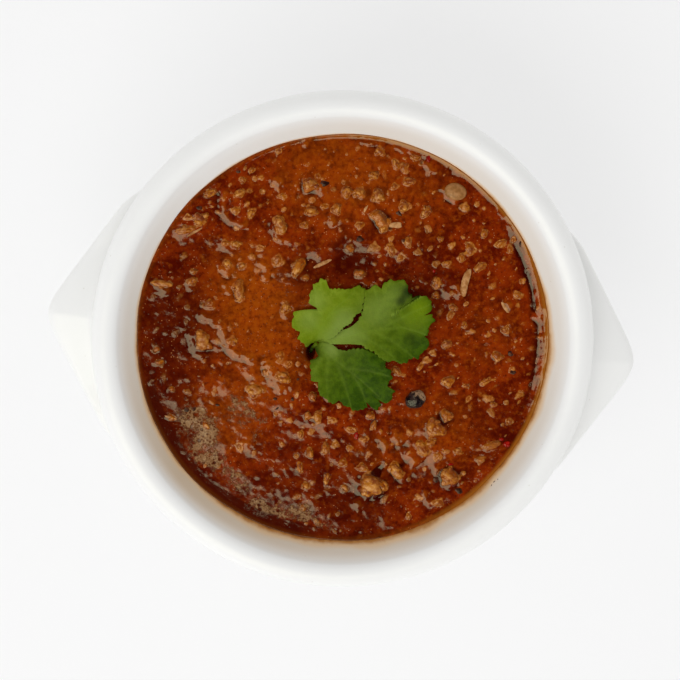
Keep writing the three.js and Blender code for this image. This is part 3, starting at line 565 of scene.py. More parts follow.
def lug_reach(turn):
    """How far the lugs reach in plan, at each turn from the nearer lug's middle line."""
    def line_reach(first, second, turn):
        across = np.array([second[1] - first[1], first[0] - second[0]], float)
        across /= np.linalg.norm(across)
        far = abs(across @ np.array(first))
        rising = math.copysign(1, first[1] + second[1]) * across[1]
        return far / np.maximum(abs(across[0]) * np.cos(turn) + rising * np.sin(turn), 1e-3)
    point = (LUG_POINT_X, 0.0)
    front = line_reach(LUG_SHOULDER, point, turn)
    front_other = line_reach(LUG_SHOULDER, point, -turn)
    side = line_reach(LUG_ROOT, LUG_SHOULDER, turn)
    power = -LUG_ROUNDNESS
    return (front ** power + front_other ** power + side ** power) ** (1.0 / power)


def lug_half_width(x):
    xs = (LUG_ROOT[0] - 20.0, LUG_ROOT[0], LUG_SHOULDER[0], LUG_POINT_X)
    slope = (LUG_ROOT[1] - LUG_SHOULDER[1]) / (LUG_SHOULDER[0] - LUG_ROOT[0])
    widths = (LUG_ROOT[1] + 20.0 * slope, LUG_ROOT[1], LUG_SHOULDER[1], 0.05)
    return np.interp(x, xs, widths)


UPPER_ROWS, LUG_ROWS, LOWER_ROWS = 8, 36, 20


def outer_wall(turn):
    """Radius and height of each row of the outer wall, from the rim down, at one or more turns."""
    turn = np.atleast_1d(turn)[:, None]
    body = float(wall_radius(LUG_EDGE_Z))
    extra = lug_reach(turn) - body
    extra = soft_max(extra, 0.0, LUG_SOFTNESS) * smoothstep(*np.radians(LUG_ENDS)[::-1], turn)
    around = np.linspace(0.0, math.pi, LUG_ROWS)[None, :]
    share = np.sin(around) ** LUG_BLUNTNESS
    x = (body + extra * share) * np.cos(turn)
    y = (body + extra * share) * np.sin(turn)
    across = np.clip(y / lug_half_width(x), 0.0, 1.0)
    out = np.clip((x - LUG_ROOT[0]) / (LUG_TIP_X - LUG_ROOT[0]), 0.0, 1.0)
    soft_across = np.sqrt(across ** 2 + LUG_RIDGE_SOFTNESS ** 2)
    ridge = LUG_RIDGE * np.clip(1.0 - soft_across, 0.0, 1.0) * (1.0 - LUG_RIDGE_FALL * out)
    keel = LUG_KEEL * (1.0 - out) ** 1.5 * (1.0 - across ** 2)
    thickness = np.where(around < math.pi / 2, LUG_HALF_THICKNESS + ridge, LUG_HALF_THICKNESS + keel)
    fullness = np.clip(2.0 * extra / thickness, 2.0, 40.0)
    profile = np.sqrt(np.clip(1.0 - share ** fullness, 0.0, 1.0))
    fillet = LUG_FILLET * np.exp(-extra * share / LUG_FILLET) * (1.0 - np.exp(-extra / LUG_FILLET))
    side = np.where(around < math.pi / 2, 1.0, -1.0)
    height = LUG_EDGE_Z + side * (thickness * profile + fillet)
    radius = wall_radius(height) + extra * share
    upper_share = np.linspace(0.0, 1.0, UPPER_ROWS + 1)[None, :-1]
    upper = RIM_MIDDLE_Z + (height[:, :1] - RIM_MIDDLE_Z) * upper_share
    lower_share = np.linspace(0.0, 1.0, LOWER_ROWS + 1)[None, 1:]
    lower = height[:, -1:] + (NECK_Z - height[:, -1:]) * lower_share
    heights = np.hstack((upper, height, lower))
    radii = np.hstack((wall_radius(upper), radius, wall_radius(lower)))
    return radii, heights


def bowl_profile():
    """The half section, from the inner floor's middle over the rim to the middle of the foot's recess."""
    inner, mouth_turn = inner_wall(26)
    arc = np.linspace(mouth_turn, 0.0, 18)[1:-1]
    rim = np.column_stack((
        RIM_RADIUS + RIM_HALF_WIDTH * np.cos(arc), RIM_MIDDLE_Z + RIM_HALF_HEIGHT * np.sin(arc)))
    radii, heights = outer_wall(math.pi / 2)
    outer = np.column_stack((radii[0], heights[0]))
    quarter = np.linspace(0.0, math.pi / 2, 5)
    outer_toe = np.column_stack((
        FOOT_OUTER_RADIUS - FOOT_ROUNDING * (1 - np.cos(quarter)), FOOT_ROUNDING * (1 - np.sin(quarter))))
    inner_toe = np.column_stack((
        FOOT_INNER_RADIUS + FOOT_ROUNDING * (1 - np.sin(quarter)), FOOT_ROUNDING * (1 - np.cos(quarter))))
    neck = ((FOOT_OUTER_RADIUS + 0.35, 3.9), (FOOT_OUTER_RADIUS, 3.3), (FOOT_OUTER_RADIUS, 2.0))
    recess = (
        (FOOT_INNER_RADIUS, RECESS_Z - 1.1), (FOOT_INNER_RADIUS - 0.25, RECESS_Z - 0.35),
        (FOOT_INNER_RADIUS - 1.0, RECESS_Z), (FOOT_INNER_RADIUS * 0.6, RECESS_Z), (0.0, RECESS_Z))
    rows = np.vstack((inner, rim, outer, neck, outer_toe, inner_toe, recess))
    first_outer = len(inner) + len(rim)
    return rows, first_outer, len(outer)


def bowl_form():
    rows, first_outer, outer_count = bowl_profile()
    form = bmesh.new()
    row_layer = form.verts.layers.int.new("row")
    verts = [form.verts.new((radius, 0.0, height)) for radius, height in rows]
    for row, vert in enumerate(verts):
        vert[row_layer] = row
    edges = [form.edges.new(pair) for pair in zip(verts[:-1], verts[1:])]
    bmesh.ops.spin(
        form, geom=verts + edges, cent=(0, 0, 0), axis=(0, 0, 1), angle=2 * math.pi, steps=TURN_STEPS,
        use_merge=True)
    bmesh.ops.remove_doubles(form, verts=form.verts, dist=1e-4)
    form.verts.ensure_lookup_table()
    corners = corners_of(form.verts)
    row = np.array([vert[row_layer] for vert in form.verts])
    turn = np.arctan2(corners[:, 1], corners[:, 0])
    turn = turn - STEP_GATHER * np.sin(2 * turn)
    radius = np.hypot(corners[:, 0], corners[:, 1])
    height = corners[:, 2]
    on_wall = (row >= first_outer) & (row < first_outer + outer_count)
    from_lug = np.arctan2(np.abs(np.sin(turn)), np.abs(np.cos(turn)))
    radii, heights = outer_wall(from_lug[on_wall])
    picked = np.arange(on_wall.sum())
    radius[on_wall] = radii[picked, row[on_wall] - first_outer]
    height[on_wall] = heights[picked, row[on_wall] - first_outer]
    move(form.verts, np.column_stack((radius * np.cos(turn), radius * np.sin(turn), height)))
    bmesh.ops.recalc_face_normals(form, faces=form.faces)
    return form


def glaze():
    """White glaze with a slight ripple and fine specks, oily above the chili, with painted shade and painted
    chili-coloured bounce light on the inner wall, bare under the foot ring.
    """
    material, tree, shader = new_material("white_glaze", Roughness=0.34, IOR=1.38, Specular_IOR_Level=0.3)
    point = object_point(tree)
    white = blend(grain(point, 26.0), linear(233, 233, 231), linear(238, 238, 236))
    speckled = tint(white, ramp(spots(point, 5.0), 0.05, 0.035), 0.35, (196, 190, 178))
    height = add(tree, "SeparateXYZ", {0: point}).outputs["Z"]
    bare = ramp(height, BARE_FOOT[1] * MM, BARE_FOOT[0] * MM)
    clay = blend(grain(point, 0.8, 3.0), linear(214, 205, 190), linear(232, 224, 210))
    # Painted shade and painted chili-coloured bounce light on the inner wall
    body = blend(stored(tree, "wall_shade_and_bounce"), blend(bare, speckled, clay), linear(182, 148, 98))
    film = stored(tree, "oil_film")
    uneven = times(plus(grain(point, 3.0, 4.0, 0.6), -0.5), 0.7)
    oil = plus(film, times(uneven, film))
    tan = tint(body, ramp(oil, 0.0, 0.5), 0.8, (214, 178, 134))
    golden = blend(ramp(oil, 0.42, 0.80), tan, linear(172, 116, 56))
    stained = blend(ramp(oil, 0.76, 0.97), golden, linear(118, 58, 18))
    ripple = bump(grain(point, 9.0, 1.0), 0.10)
    fine = bump(grain(point, 1.1), 0.006, ripple)
    join(tree, shader, Base_Color=stained, Roughness=plus(times(bare, 0.4), 0.33), Normal=fine)
    return material


# How far the thin film of oil and sauce reaches up the inner wall, in millimetres, at turns in degrees
FILM_TURNS = (-180, -150, -120, -90, -60, -42, -30, -15, 0, 10, 25, 60, 90, 150, 180)
FILM_REACHES = (1.4, 2.0, 2.6, 3.6, 3.8, 3.4, 1.9, 3.2, 3.2, 2.4, 1.5, 1.3, 0.9, 1.1, 1.4)

# How strongly the inner wall above the chili is painted darker and warmer, at turns in degrees: painted
# shade, strongest at the lower left, and the chili's colour painted on as bounce light
WALL_TURNS = (-180, -135, -90, -45, 0, 45, 90, 135, 180)
WALL_SHADE_TINTS = (0.33, 0.70, 0.50, 0.50, 0.30, 0.28, 0.30, 0.08, 0.33)
WALL_SHADE_HEIGHTS = (3.2, 8.2)  # over the chili, between which that colour fades


def bowl_piece():
    piece = finished("bowl_body", bowl_form(), glaze(), ["bowl"])
    places = places_of(piece)
    turn = np.degrees(np.arctan2(places[:, 1], places[:, 0]))
    up = places[:, 2] - CHILI_LEVEL
    inside = (np.hypot(places[:, 0], places[:, 1]) < MOUTH_RADIUS + 0.5) & (up > -2.5)
    ragged = 1.0 + 0.12 * np.sin(np.radians(turn * 9.0)) + 0.10 * np.sin(np.radians(turn * 23.0) + 1.0)
    reach = np.interp(turn, FILM_TURNS, FILM_REACHES) * ragged
    give_values(piece, "oil_film", np.clip(1.0 - up / reach, 0.0, 1.0) * inside)
    # Painted shade and chili-coloured bounce light, strongest at the lower left, fading upwards
    shade_tints = np.interp(turn, WALL_TURNS, WALL_SHADE_TINTS)
    give_values(piece, "wall_shade_and_bounce", inside * smoothstep(*WALL_SHADE_HEIGHTS[::-1], up) * shade_tints)


# ---------------------------------------------------------------- the stew's relief
class Relief:
    """Heights and masks over the stew, on an even raster that the forms are sampled from."""

    def __init__(self, seed):
        self.count = int(round(2 * RELIEF_REACH / RELIEF_STEP)) + 1
        axis = np.linspace(-RELIEF_REACH, RELIEF_REACH, self.count)
        self.x, self.y = np.meshgrid(axis, axis)
        self.random = np.random.default_rng(seed)
        rate = np.fft.fftfreq(self.count, RELIEF_STEP)
        self.rates = rate[:, None] ** 2 + np.fft.rfftfreq(self.count, RELIEF_STEP)[None, :] ** 2

    def blurred(self, field, size):
        kernel = np.exp(-2.0 * (math.pi * size) ** 2 * self.rates)
        return np.fft.irfft2(np.fft.rfft2(field) * kernel, field.shape)

    def noise(self, size):
        field = self.blurred(self.random.standard_normal((self.count, self.count)), size)
        return field / field.std()

    def window(self, x, y, reach):
        """The part of the raster within reach of a place."""
        first = [max(int((middle - reach + RELIEF_REACH) / RELIEF_STEP), 0) for middle in (x, y)]
        last = [int((middle + reach + RELIEF_REACH) / RELIEF_STEP) + 2 for middle in (x, y)]
        return slice(first[1], last[1]), slice(first[0], last[0])

    def sample(self, field, x, y):
        """The field's value at places between the raster's own."""
        column = np.clip((x + RELIEF_REACH) / RELIEF_STEP, 0, self.count - 1.001)
        line = np.clip((y + RELIEF_REACH) / RELIEF_STEP, 0, self.count - 1.001)
        left, low = column.astype(int), line.astype(int)
        across, up = column - left, line - low
        below = field[low, left] * (1 - across) + field[low, left + 1] * across
        above = field[low + 1, left] * (1 - across) + field[low + 1, left + 1] * across
        return below * (1 - up) + above * up


def granule_list(source):
    """The named crumbles first, then smaller granules of many sizes thrown clear of each other."""
    granules = []
    for x, y, length, width, turn, proud in LUMPS:
        a, b = LUMP_FULLNESS * length / 2, LUMP_FULLNESS * width / 2
        top = (0.35 + 0.17 * width) * (1.4 * proud - 0.4)  # wide ones stand higher, the least proud lie under
        granules.append((x, y, a, b, turn, top))
    taken = [(x, y, 0.5 * (a + b)) for x, y, a, b, _, _ in granules]
    for shape in (BLACK_BEAN, PALE_BEAN, ONION):
        taken.append((shape["x"], shape["y"], shape["length"] / 2))
    taken = np.array(taken)
    for tries, least, most, lowest, highest in GRANULE_KINDS:
        for _ in range(tries):
            radius = source.uniform(least, most)
            x, y = source.uniform(-GRANULE_FIELD, GRANULE_FIELD, 2)
            if math.hypot(x, y) > GRANULE_LIMIT - radius:
                continue
            smooth = any(math.hypot(x - sx, y - sy) < reach for sx, sy, reach in SMOOTH_AREAS)
            if smooth and source.uniform(0, 1) < SKIPPED_IN_SMOOTH:
                continue
            gaps = np.hypot(taken[:, 0] - x, taken[:, 1] - y) - taken[:, 2] - radius
            if gaps.min() < -GRANULE_OVERLAP * radius:
                continue
            taken = np.vstack((taken, (x, y, radius)))
            a = radius * source.uniform(0.95, 1.5)
            b = radius * source.uniform(0.65, 1.0)
            granules.append((x, y, a, b, source.uniform(0, 180), source.uniform(lowest, highest)))
    return clustered(granules, source)


def clustered(granules, source):
    """Makes each larger granule a main lump with smaller ones that cling to its sides."""
    result = []
    for x, y, a, b, turn, top in granules:
        if a < CLUSTER_LEAST:
            result.append((x, y, a, b, turn, top))
            continue
        result.append((x, y, 0.8 * a, 0.8 * b, turn, top))
        around = source.uniform(0, 360)
        for _ in range(2 + int(0.8 * a)):
            around += source.uniform(80, 150)
            along = 0.64 * a * math.cos(math.radians(around))
            across = 0.64 * b * math.sin(math.radians(around))
            size = b * source.uniform(0.36, 0.58)
            longer = source.uniform(0.95, 1.4)
            aside_x, aside_y = turned(along, across, turn)
            lower = top - source.uniform(0.05, 0.30) * b
            half = (size * longer, size / longer)
            result.append((x + aside_x, y + aside_y, *half, source.uniform(0, 180), lower))
    return result


def swelling(shapes, x, y):
    """Smooth swells and dents, each an oval that falls away evenly."""
    total = np.zeros_like(x)
    for middle_x, middle_y, length, width, turn, height in shapes:
        along, across = turned(x - middle_x, y - middle_y, -turn)
        spread = (along / (length / 2)) ** 2 + (across / (width / 2)) ** 2
        total = total + height * np.exp(-spread ** 1.6)
    return total


def flank_height(flank, x, y):
    """A slope that rises away from the lamp along a line, then sinks back slowly."""
    width, *line = flank
    width *= FLANK_SLIMNESS
    nearest = np.full_like(x, 1e3)
    signed = np.full_like(x, 1e3)
    from_end = np.zeros_like(x)
    lengths = np.hypot(*np.diff(np.array(line, float), axis=0).T)
    total = float(lengths.sum())
    for index, step, share, (gap_x, gap_y) in legs(line, x, y):
        away = np.array((-step[1], step[0])) / lengths[index]
        if away @ np.array(SOFTBOX_SIDE) > 0:
            away = -away
        distance = np.hypot(gap_x, gap_y)
        closer = distance < nearest
        along = lengths[:index].sum() + share * lengths[index]
        nearest = np.where(closer, distance, nearest)
        signed = np.where(closer, np.sign(gap_x * away[0] + gap_y * away[1]) * distance, signed)
        from_end = np.where(closer, np.minimum(along, total - along), from_end)
    rise = FLANK_SLOPE * width * np.clip(signed / width + 0.5, 0.0, 1.0)
    rise = rise * np.exp(-np.clip(signed - width / 2, 0.0, None) / (FLANK_DECLINE * width))
    return rise * smoothstep(-0.35 * width, min(1.1 * width, 0.4 * total), from_end)


def flanks_height(relief):
    total = np.zeros_like(relief.x)
    for flank in FLANKS:
        points = np.array(flank[1:], float)
        middle = (points.min(axis=0) + points.max(axis=0)) / 2
        reach = float(np.abs(points - middle).max()) + 7.0 * flank[0]
        lines, columns = relief.window(middle[0], middle[1], reach)
        total[lines, columns] += flank_height(flank, relief.x[lines, columns], relief.y[lines, columns])
    return relief.blurred(total, 0.14)


def under_leaf(x, y, margin):
    """True where a lobe of the leaf lies above, or within the margin of it."""
    covered = np.zeros(np.shape(x), bool)
    for middle, table in LOBES.values():
        turn = np.mod(np.degrees(np.arctan2(y - middle[1], x - middle[0])), 360.0)
        covered |= np.hypot(x - middle[0], y - middle[1]) < lobe_reach(table, turn) + margin
    return covered


def edge_places(relief):
    """How far each place of the raster lies inside the chili's edge, and its turn in degrees."""
    gap = np.clip(CHILI_RADIUS + 0.4 - np.hypot(relief.x, relief.y), 0.0, None)
    return gap, np.degrees(np.arctan2(relief.y, relief.x))


def right_side(turn):
    return smoothstep(-25, -5, turn) * smoothstep(44, 30, turn)


def edge_lift(relief):
    """The sauce climbs the wall a little; at the right it also sags just inside the edge."""
    gap, turn = edge_places(relief)
    sag = smoothstep(1.3, 3.3, gap) * np.exp(-np.clip(gap - 3.3, 0.0, None) / 7.0)
    return 0.25 * np.exp(-gap / 0.4) - 0.5 * right_side(turn) * sag


def pitting(relief, flanks):
    """How deeply the slopes are pitted; the strip along the right edge stays almost smooth."""
    gap, turn = edge_places(relief)
    steep = np.hypot(*np.gradient(flanks, RELIEF_STEP)) / FLANK_SLOPE
    smooth = 0.8 * right_side(turn) * smoothstep(5.0, 3.0, gap)
    return PIT_DEPTH * relief.blurred(np.clip(steep, 0.0, 1.0), 0.35) * (1.0 - smooth)


def calm(relief):
    """From 0 to 1, how still the sauce lies: along the edge at the lower left and in a pool at the left."""
    gap, turn = edge_places(relief)
    edge = smoothstep(9.0, 2.0, gap) * smoothstep(-178, -165, turn) * smoothstep(-80, -100, turn)
    x, y, reach = CALM_POOL
    pool = 0.6 * smoothstep(reach, 0.2 * reach, np.hypot(relief.x - x, relief.y - y))
    return 0.9 * np.maximum(edge, pool)


def stew_relief():
    """The relief, the surface's heights, how near mince lies under it, where it is sunk or raised for painted
    shade and light, and the granules.
    """
    relief = Relief(STEW_SEED)
    granules = granule_list(np.random.default_rng(GRANULE_SEED))
    base = sum(height * relief.noise(size) for height, size in SAUCE_SWELLS)
    flanks = flanks_height(relief)
    base = base + flanks + relief.noise(PIT_SIZE) * pitting(relief, flanks)
    base = base + swelling(SWELLS, relief.x, relief.y) + edge_lift(relief)
    ceiling = leaf_height(relief.x, relief.y) - CHILI_LEVEL - 1.0
    covered = under_leaf(relief.x, relief.y, 0.6)
    cores = np.full_like(base, FAR_DOWN)
    placed = []
    for x, y, a, b, turn, top in granules:
        top = top + float(relief.sample(base, x, y))
        placed.append((x, y, a, b, turn, top))
        part = relief.window(x, y, a + 0.5)
        along, across = turned(relief.x[part] - x, relief.y[part] - y, -turn)
        spread = (along / a) ** 2 + (across / b) ** 2
        dome = top - CORE_FULLNESS * b * (1.0 - np.sqrt(np.clip(1.0 - spread, 0.0, 1.0)))
        cores[part] = np.maximum(cores[part], np.where(spread < 1.0, dome, FAR_DOWN))
    proud = np.clip(cores - base, 0.0, 1.6)
    sauce = base + sum(share * relief.blurred(proud, spread) for share, spread in SOFT_SWELLS)
    bare = BARE + BARE_VARIATION * relief.noise(0.55)
    coat = base + relief.blurred(np.maximum(cores - base - bare, -COAT_DIP), COAT_SPREAD)
    heights = soft_max(sauce, coat, 0.08) - 0.03
    still = calm(relief)
    heights = heights * (1.0 - still) + flanks * still
    lumpy = relief.blurred(smoothstep(-0.9, 0.1, cores - heights), 0.3)
    heights = heights + LUMP_ROUGHNESS * relief.noise(LUMP_ROUGHNESS_SIZE) * lumpy
    heights = np.where(covered, np.minimum(heights, ceiling), heights)
    shallow = np.exp(-np.clip(heights - cores, 0.0, None) / 0.42)
    # Sunk places get painted shade and raised ones painted light
    relief_light_and_shade = relief.blurred(heights, 1.3) - relief.blurred(heights, 0.25)
    return relief, heights, relief.blurred(shallow, 0.12), relief_light_and_shade, placed


def painted_far_side_shade(relief, heights):
    """From 0 to 1, how far the sauce faces away from the lamp, where the painted shade on that side lies."""
    up_y, up_x = np.gradient(relief.blurred(heights, 0.15), RELIEF_STEP)
    return smoothstep(0.12, 0.6, up_x * SOFTBOX_SIDE[0] + up_y * SOFTBOX_SIDE[1])


# ---------------------------------------------------------------- the leaf's lie
def leaf_height(x, y):
    return CHILI_LEVEL + LEAF_LIFT + LEAF_WAVE * np.sin(0.24 * x + 0.6) * np.cos(0.21 * y - 0.5)


# ---------------------------------------------------------------- the stew
def disc_places(x, y):
    """Moves a square grid from -1 to 1 onto a disc, ring by ring."""
    wide = np.abs(x) >= np.abs(y)
    longer, shorter = np.where(wide, (x, y), (y, x))
    share = math.pi / 4 * shorter / np.where(longer == 0, 1.0, longer)
    turn = np.where(wide, share, math.pi / 2 - share)
    return longer * np.cos(turn), longer * np.sin(turn)


def inner_radius(height):
    inner, _ = inner_wall(200)
    return np.interp(height, inner[:, 1], inner[:, 0])


def stew_form(relief, heights):
    form = bmesh.new()
    bmesh.ops.create_grid(form, x_segments=STEW_CELLS, y_segments=STEW_CELLS, size=1.0)
    flat = corners_of(form.verts)
    x, y = disc_places(flat[:, 0], flat[:, 1])
    ring = np.hypot(x, y)
    tide = 0.55 + 0.16 * np.sin(np.arctan2(y, x) * 5.0 + 1.0) + 0.1 * np.sin(np.arctan2(y, x) * 13.0)
    wall = inner_radius(CHILI_LEVEL + tide) + 0.06
    x, y = x * wall, y * wall
    z = CHILI_LEVEL + relief.sample(heights, x, y)
    z = np.where(ring > 0.9999, CHILI_LEVEL + tide, z)
    near = smoothstep(0.975, 1.0, ring)
    z = z * (1 - near) + (CHILI_LEVEL + tide) * near
    move(form.verts, np.column_stack((x, y, z)))
    rim = [edge for edge in form.edges if edge.is_boundary]
    for height in SKIRT_HEIGHTS:
        made = bmesh.ops.extrude_edge_only(form, edges=rim)["geom"]
        rim = [item for item in made if isinstance(item, bmesh.types.BMEdge) and item.is_boundary]
        radius = float(inner_radius(height)) - SKIRT_GAP
        for vert in {vert for edge in rim for vert in edge.verts}:
            turn = math.atan2(vert.co.y, vert.co.x)
            vert.co = (radius * math.cos(turn), radius * math.sin(turn), height)
    made = bmesh.ops.extrude_edge_only(form, edges=rim)["geom"]
    middle = [item for item in made if isinstance(item, bmesh.types.BMVert)]
    bmesh.ops.pointmerge(form, verts=middle, merge_co=(0.0, 0.0, SKIRT_HEIGHTS[-1]))
    bmesh.ops.recalc_face_normals(form, faces=form.faces)
    return form


# Areas of the stew, each as x, y, radius and strength: warmer, darker sauce and painted shade (the leaf's
# shadow, the pit under the stalk, the lower-left edge), foamy, and with pores
STEW_AREAS = {
    "warm": (
        (-24.0, 5.0, 15.0, 0.9), (-30.0, 17.0, 10.0, 0.5), (-8.0, 47.0, 16.0, 0.7),
        (14.0, 44.0, 14.0, 0.4), (30.0, -24.0, 12.0, 0.45), (40.0, 5.0, 12.0, 0.25),
        (12.0, -33.0, 8.0, 0.3), (-18.0, -12.0, 8.0, 0.6), (-31.0, -24.0, 12.0, 0.6),
    ),
    "darker_sauce_and_shade": (
        (-50.0, 2.0, 13.0, 0.85), (-47.0, -28.0, 12.0, 0.8), (-22.0, -51.0, 12.0, 0.6),
        (1.0, 22.0, 7.0, 1.0), (-12.0, 19.0, 6.0, 0.6), (25.0, 14.0, 8.0, 0.5), (50.0, -22.0, 10.0, 0.4),
        (-45.0, 20.0, 8.0, 0.3), (8.0, -50.0, 12.0, 0.6), (-6.0, -40.0, 13.0, 0.35),
        (-48.0, -12.0, 8.0, 0.5), (20.0, 24.0, 8.0, 0.4), (-9.6, -4.6, 2.6, 1.0),
    ),
    "foam": (
        (-42.0, -24.7, 4.0, 0.9), (-37.3, -26.0, 3.5, 0.8), (-39.8, -32.5, 6.0, 0.7),
        (-35.8, -36.7, 3.8, 0.8), (-27.3, -21.3, 5.0, 0.7), (-22.2, -26.6, 5.0, 0.6),
        (-30.6, -40.3, 4.2, 0.7), (-25.2, -43.8, 3.8, 0.7), (-19.5, -49.9, 4.2, 0.8),
        (-12.9, -51.0, 3.8, 0.7), (-7.5, -50.2, 3.8, 0.7), (-3.1, -52.1, 3.4, 0.6), (1.7, -54.5, 3.6, 0.5),
        (-33.9, -29.7, 4.0, 0.6),
    ),
    "pores": (
        (-22.0, 4.0, 16.0, 1.0), (-14.0, -10.0, 9.0, 0.9), (-30.0, -20.0, 12.0, 0.7),
        (-12.0, 24.0, 8.0, 0.6),
    ),
}


def area_strength(areas, x, y):
    total = np.zeros_like(x)
    for middle_x, middle_y, radius, strength in areas:
        distance = np.hypot(x - middle_x, y - middle_y) / radius
        total = total + strength * np.exp(-distance ** 3)
    return np.clip(total, 0.0, 1.0)


def sauce_finish(crumb):
    """Red-brown sauce, amber where mince lies just under it, with pores, foam and oil at the edge; painted
    shade in its hollows, on slopes away from the lamp, in dark patches and along the lower-left edge, painted
    light on its crests, and pale specks painted on as glints.
    """
    material, tree, shader = new_material("chili_sauce", Roughness=0.06, IOR=1.45)
    point = object_point(tree)
    mottle = grain(point, 5.0, 4.0, 0.6)
    medium = grain(point, 1.5, 4.0, 0.65)
    fine = grain(point, 0.5, 3.0, 0.65)
    red = two_tone(mottle, 0.34, 0.66, (82, 13, 1), (130, 40, 3))
    red = tint(red, ramp(medium, 0.5, 0.70), 0.6, (150, 66, 8))
    red = tint(red, ramp(medium, 0.47, 0.32), 0.7, (66, 9, 1))
    lumps, break_up = use_crumb(crumb, point, 0.9)
    amber = two_tone(fine, 0.36, 0.64, (142, 68, 5), (174, 104, 24))
    amber = blend(ramp(break_up, 0.2, 0.6), amber, linear(190, 126, 58))
    near = ramp(plus(stored(tree, "shallow"), times(medium, 0.5)), 0.5, 1.08)
    patchy = times(stored(tree, "warm"), ramp(medium, 0.32, 0.62, 0.30, 0.80))
    colour = blend(patchy, blend(near, red, amber), linear(154, 70, 6))
    relief_light_and_shade = stored(tree, "relief_light_and_shade")
    # Painted light on the crests and painted shade in the hollows
    colour = tint(colour, ramp(relief_light_and_shade, -0.02, -0.22), 0.45, (158, 78, 10))
    colour = tint(colour, ramp(relief_light_and_shade, 0.02, 0.20), 0.95, (46, 4, 1))
    # Painted shade on the slopes that face away from the lamp
    colour = tint(colour, stored(tree, "painted_far_side_shade"), 0.6, (60, 8, 1))
    # Darker sauce and painted shade: the leaf's shadow above it, the pit under the stalk and the lower-left
    # edge
    colour = tint(colour, stored(tree, "darker_sauce_and_shade"), 0.8, (54, 6, 1))
    # Pale specks painted on as glints
    specks = times(ramp(spots(point, 1.1), 0.17, 0.10), ramp(mottle, 0.45, 0.6))
    colour = tint(colour, specks, 0.75, (186, 122, 72))
    pores = ramp(spots(point, 1.15), 0.20, 0.12)
    colour = tint(colour, times(pores, stored(tree, "pores"), clamp=True), 0.65, (66, 14, 2))
    torn = times(grain(point, 2.4, 6.0, 0.78), 3.0)
    ragged = ramp(plus(stored(tree, "foam"), torn), 2.16, 2.42)
    small_holes = times(ramp(spots(point, 1.0), 0.36, 0.24), 0.75)
    holes = reckon("MAXIMUM", small_holes, ramp(spots(point, 2.1), 0.30, 0.20))
    lace = times(ragged, rest_of(holes))
    tan = two_tone(fine, 0.38, 0.62, (112, 70, 28), (146, 106, 62))
    colour = blend(times(lace, 0.85), colour, tan)
    colour = tint(colour, times(ragged, holes), 0.7, (52, 18, 5))
    # Painted shade along the lower-left edge, just inside the wall
    gap = stored(tree, "edge_gap")
    edge_shade_band = times(ramp(gap, 4.1, 3.3), stored(tree, "edge_shade"))
    colour = tint(colour, edge_shade_band, 0.85, (62, 12, 3))
    golden = times(ramp(gap, 1.6, 0.3), stored(tree, "golden_edge"))
    colour = blend(golden, colour, linear(150, 88, 24))
    wet = bump(plus(fine, pores), 0.012)
    pitted = bump(plus(lace, times(lumps, near)), 0.11, wet)
    roughness = plus(plus(times(lace, 0.22), 0.06), times(near, 0.16))
    join(tree, shader, Base_Color=colour, Roughness=roughness, Normal=pitted)
    return material


def stew_piece(crumb):
    relief, heights, shallow, relief_light_and_shade, granules = stew_relief()
    form = stew_form(relief, heights)
    piece = finished("chili_surface", form, sauce_finish(crumb), ["chili"])
    x, y = places_of(piece)[:, :2].T
    turn = np.degrees(np.arctan2(y, x))
    fields = {"shallow": shallow, "relief_light_and_shade": relief_light_and_shade, "painted_far_side_shade": painted_far_side_shade(relief, heights)}
    for name, field in fields.items():
        give_values(piece, name, relief.sample(field, x, y))
    for name, areas in STEW_AREAS.items():
        give_values(piece, name, area_strength(areas, x, y))
    gap = inner_radius(CHILI_LEVEL + 0.5) - np.hypot(x, y)
    give_values(piece, "edge_gap", np.clip(gap, 0.0, 8.0))
    golden = smoothstep(-75, -40, turn) * smoothstep(110, 80, turn)
    give_values(piece, "golden_edge", 0.15 + 0.75 * golden)
    # Where the painted shade along the lower-left edge lies
    give_values(piece, "edge_shade", smoothstep(-172, -158, turn) * smoothstep(-82, -100, turn))
    return relief, heights, granules


# ---------------------------------------------------------------- the mince, flecks and slivers
def crumble(form, middle, half, turn, detail, knob_count, source):
    """A ball with knobs pressed out all over it. Gives how far each corner stands on a knob."""
    made = bmesh.ops.create_icosphere(form, subdivisions=detail, radius=1.0)["verts"]
    directions = corners_of(made)
    knobs = source.normal(size=(knob_count, 3))
    knobs /= np.linalg.norm(knobs, axis=1)[:, None]
    swell = np.zeros(len(directions))
    for knob in knobs:
        spread = source.uniform(*KNOB_SPREADS)
        height = source.uniform(*KNOB_HEIGHTS)
        swell = np.maximum(swell, height * smoothstep(spread, 1.0, directions @ knob) ** 0.6)
    rough = np.sin(directions @ source.normal(size=(3, 5)) * 7.0 + source.uniform(0, 6, 5)).mean(axis=1)
    reach = BALL_SHARE + KNOB_SHARE * swell + ROUGH_SHARE * rough
    places = directions * reach[:, None] * np.array(half)
    x, y = turned(places[:, 0], places[:, 1], turn)
    move(made, np.column_stack((x, y, places[:, 2])) + np.array(middle))
    return swell


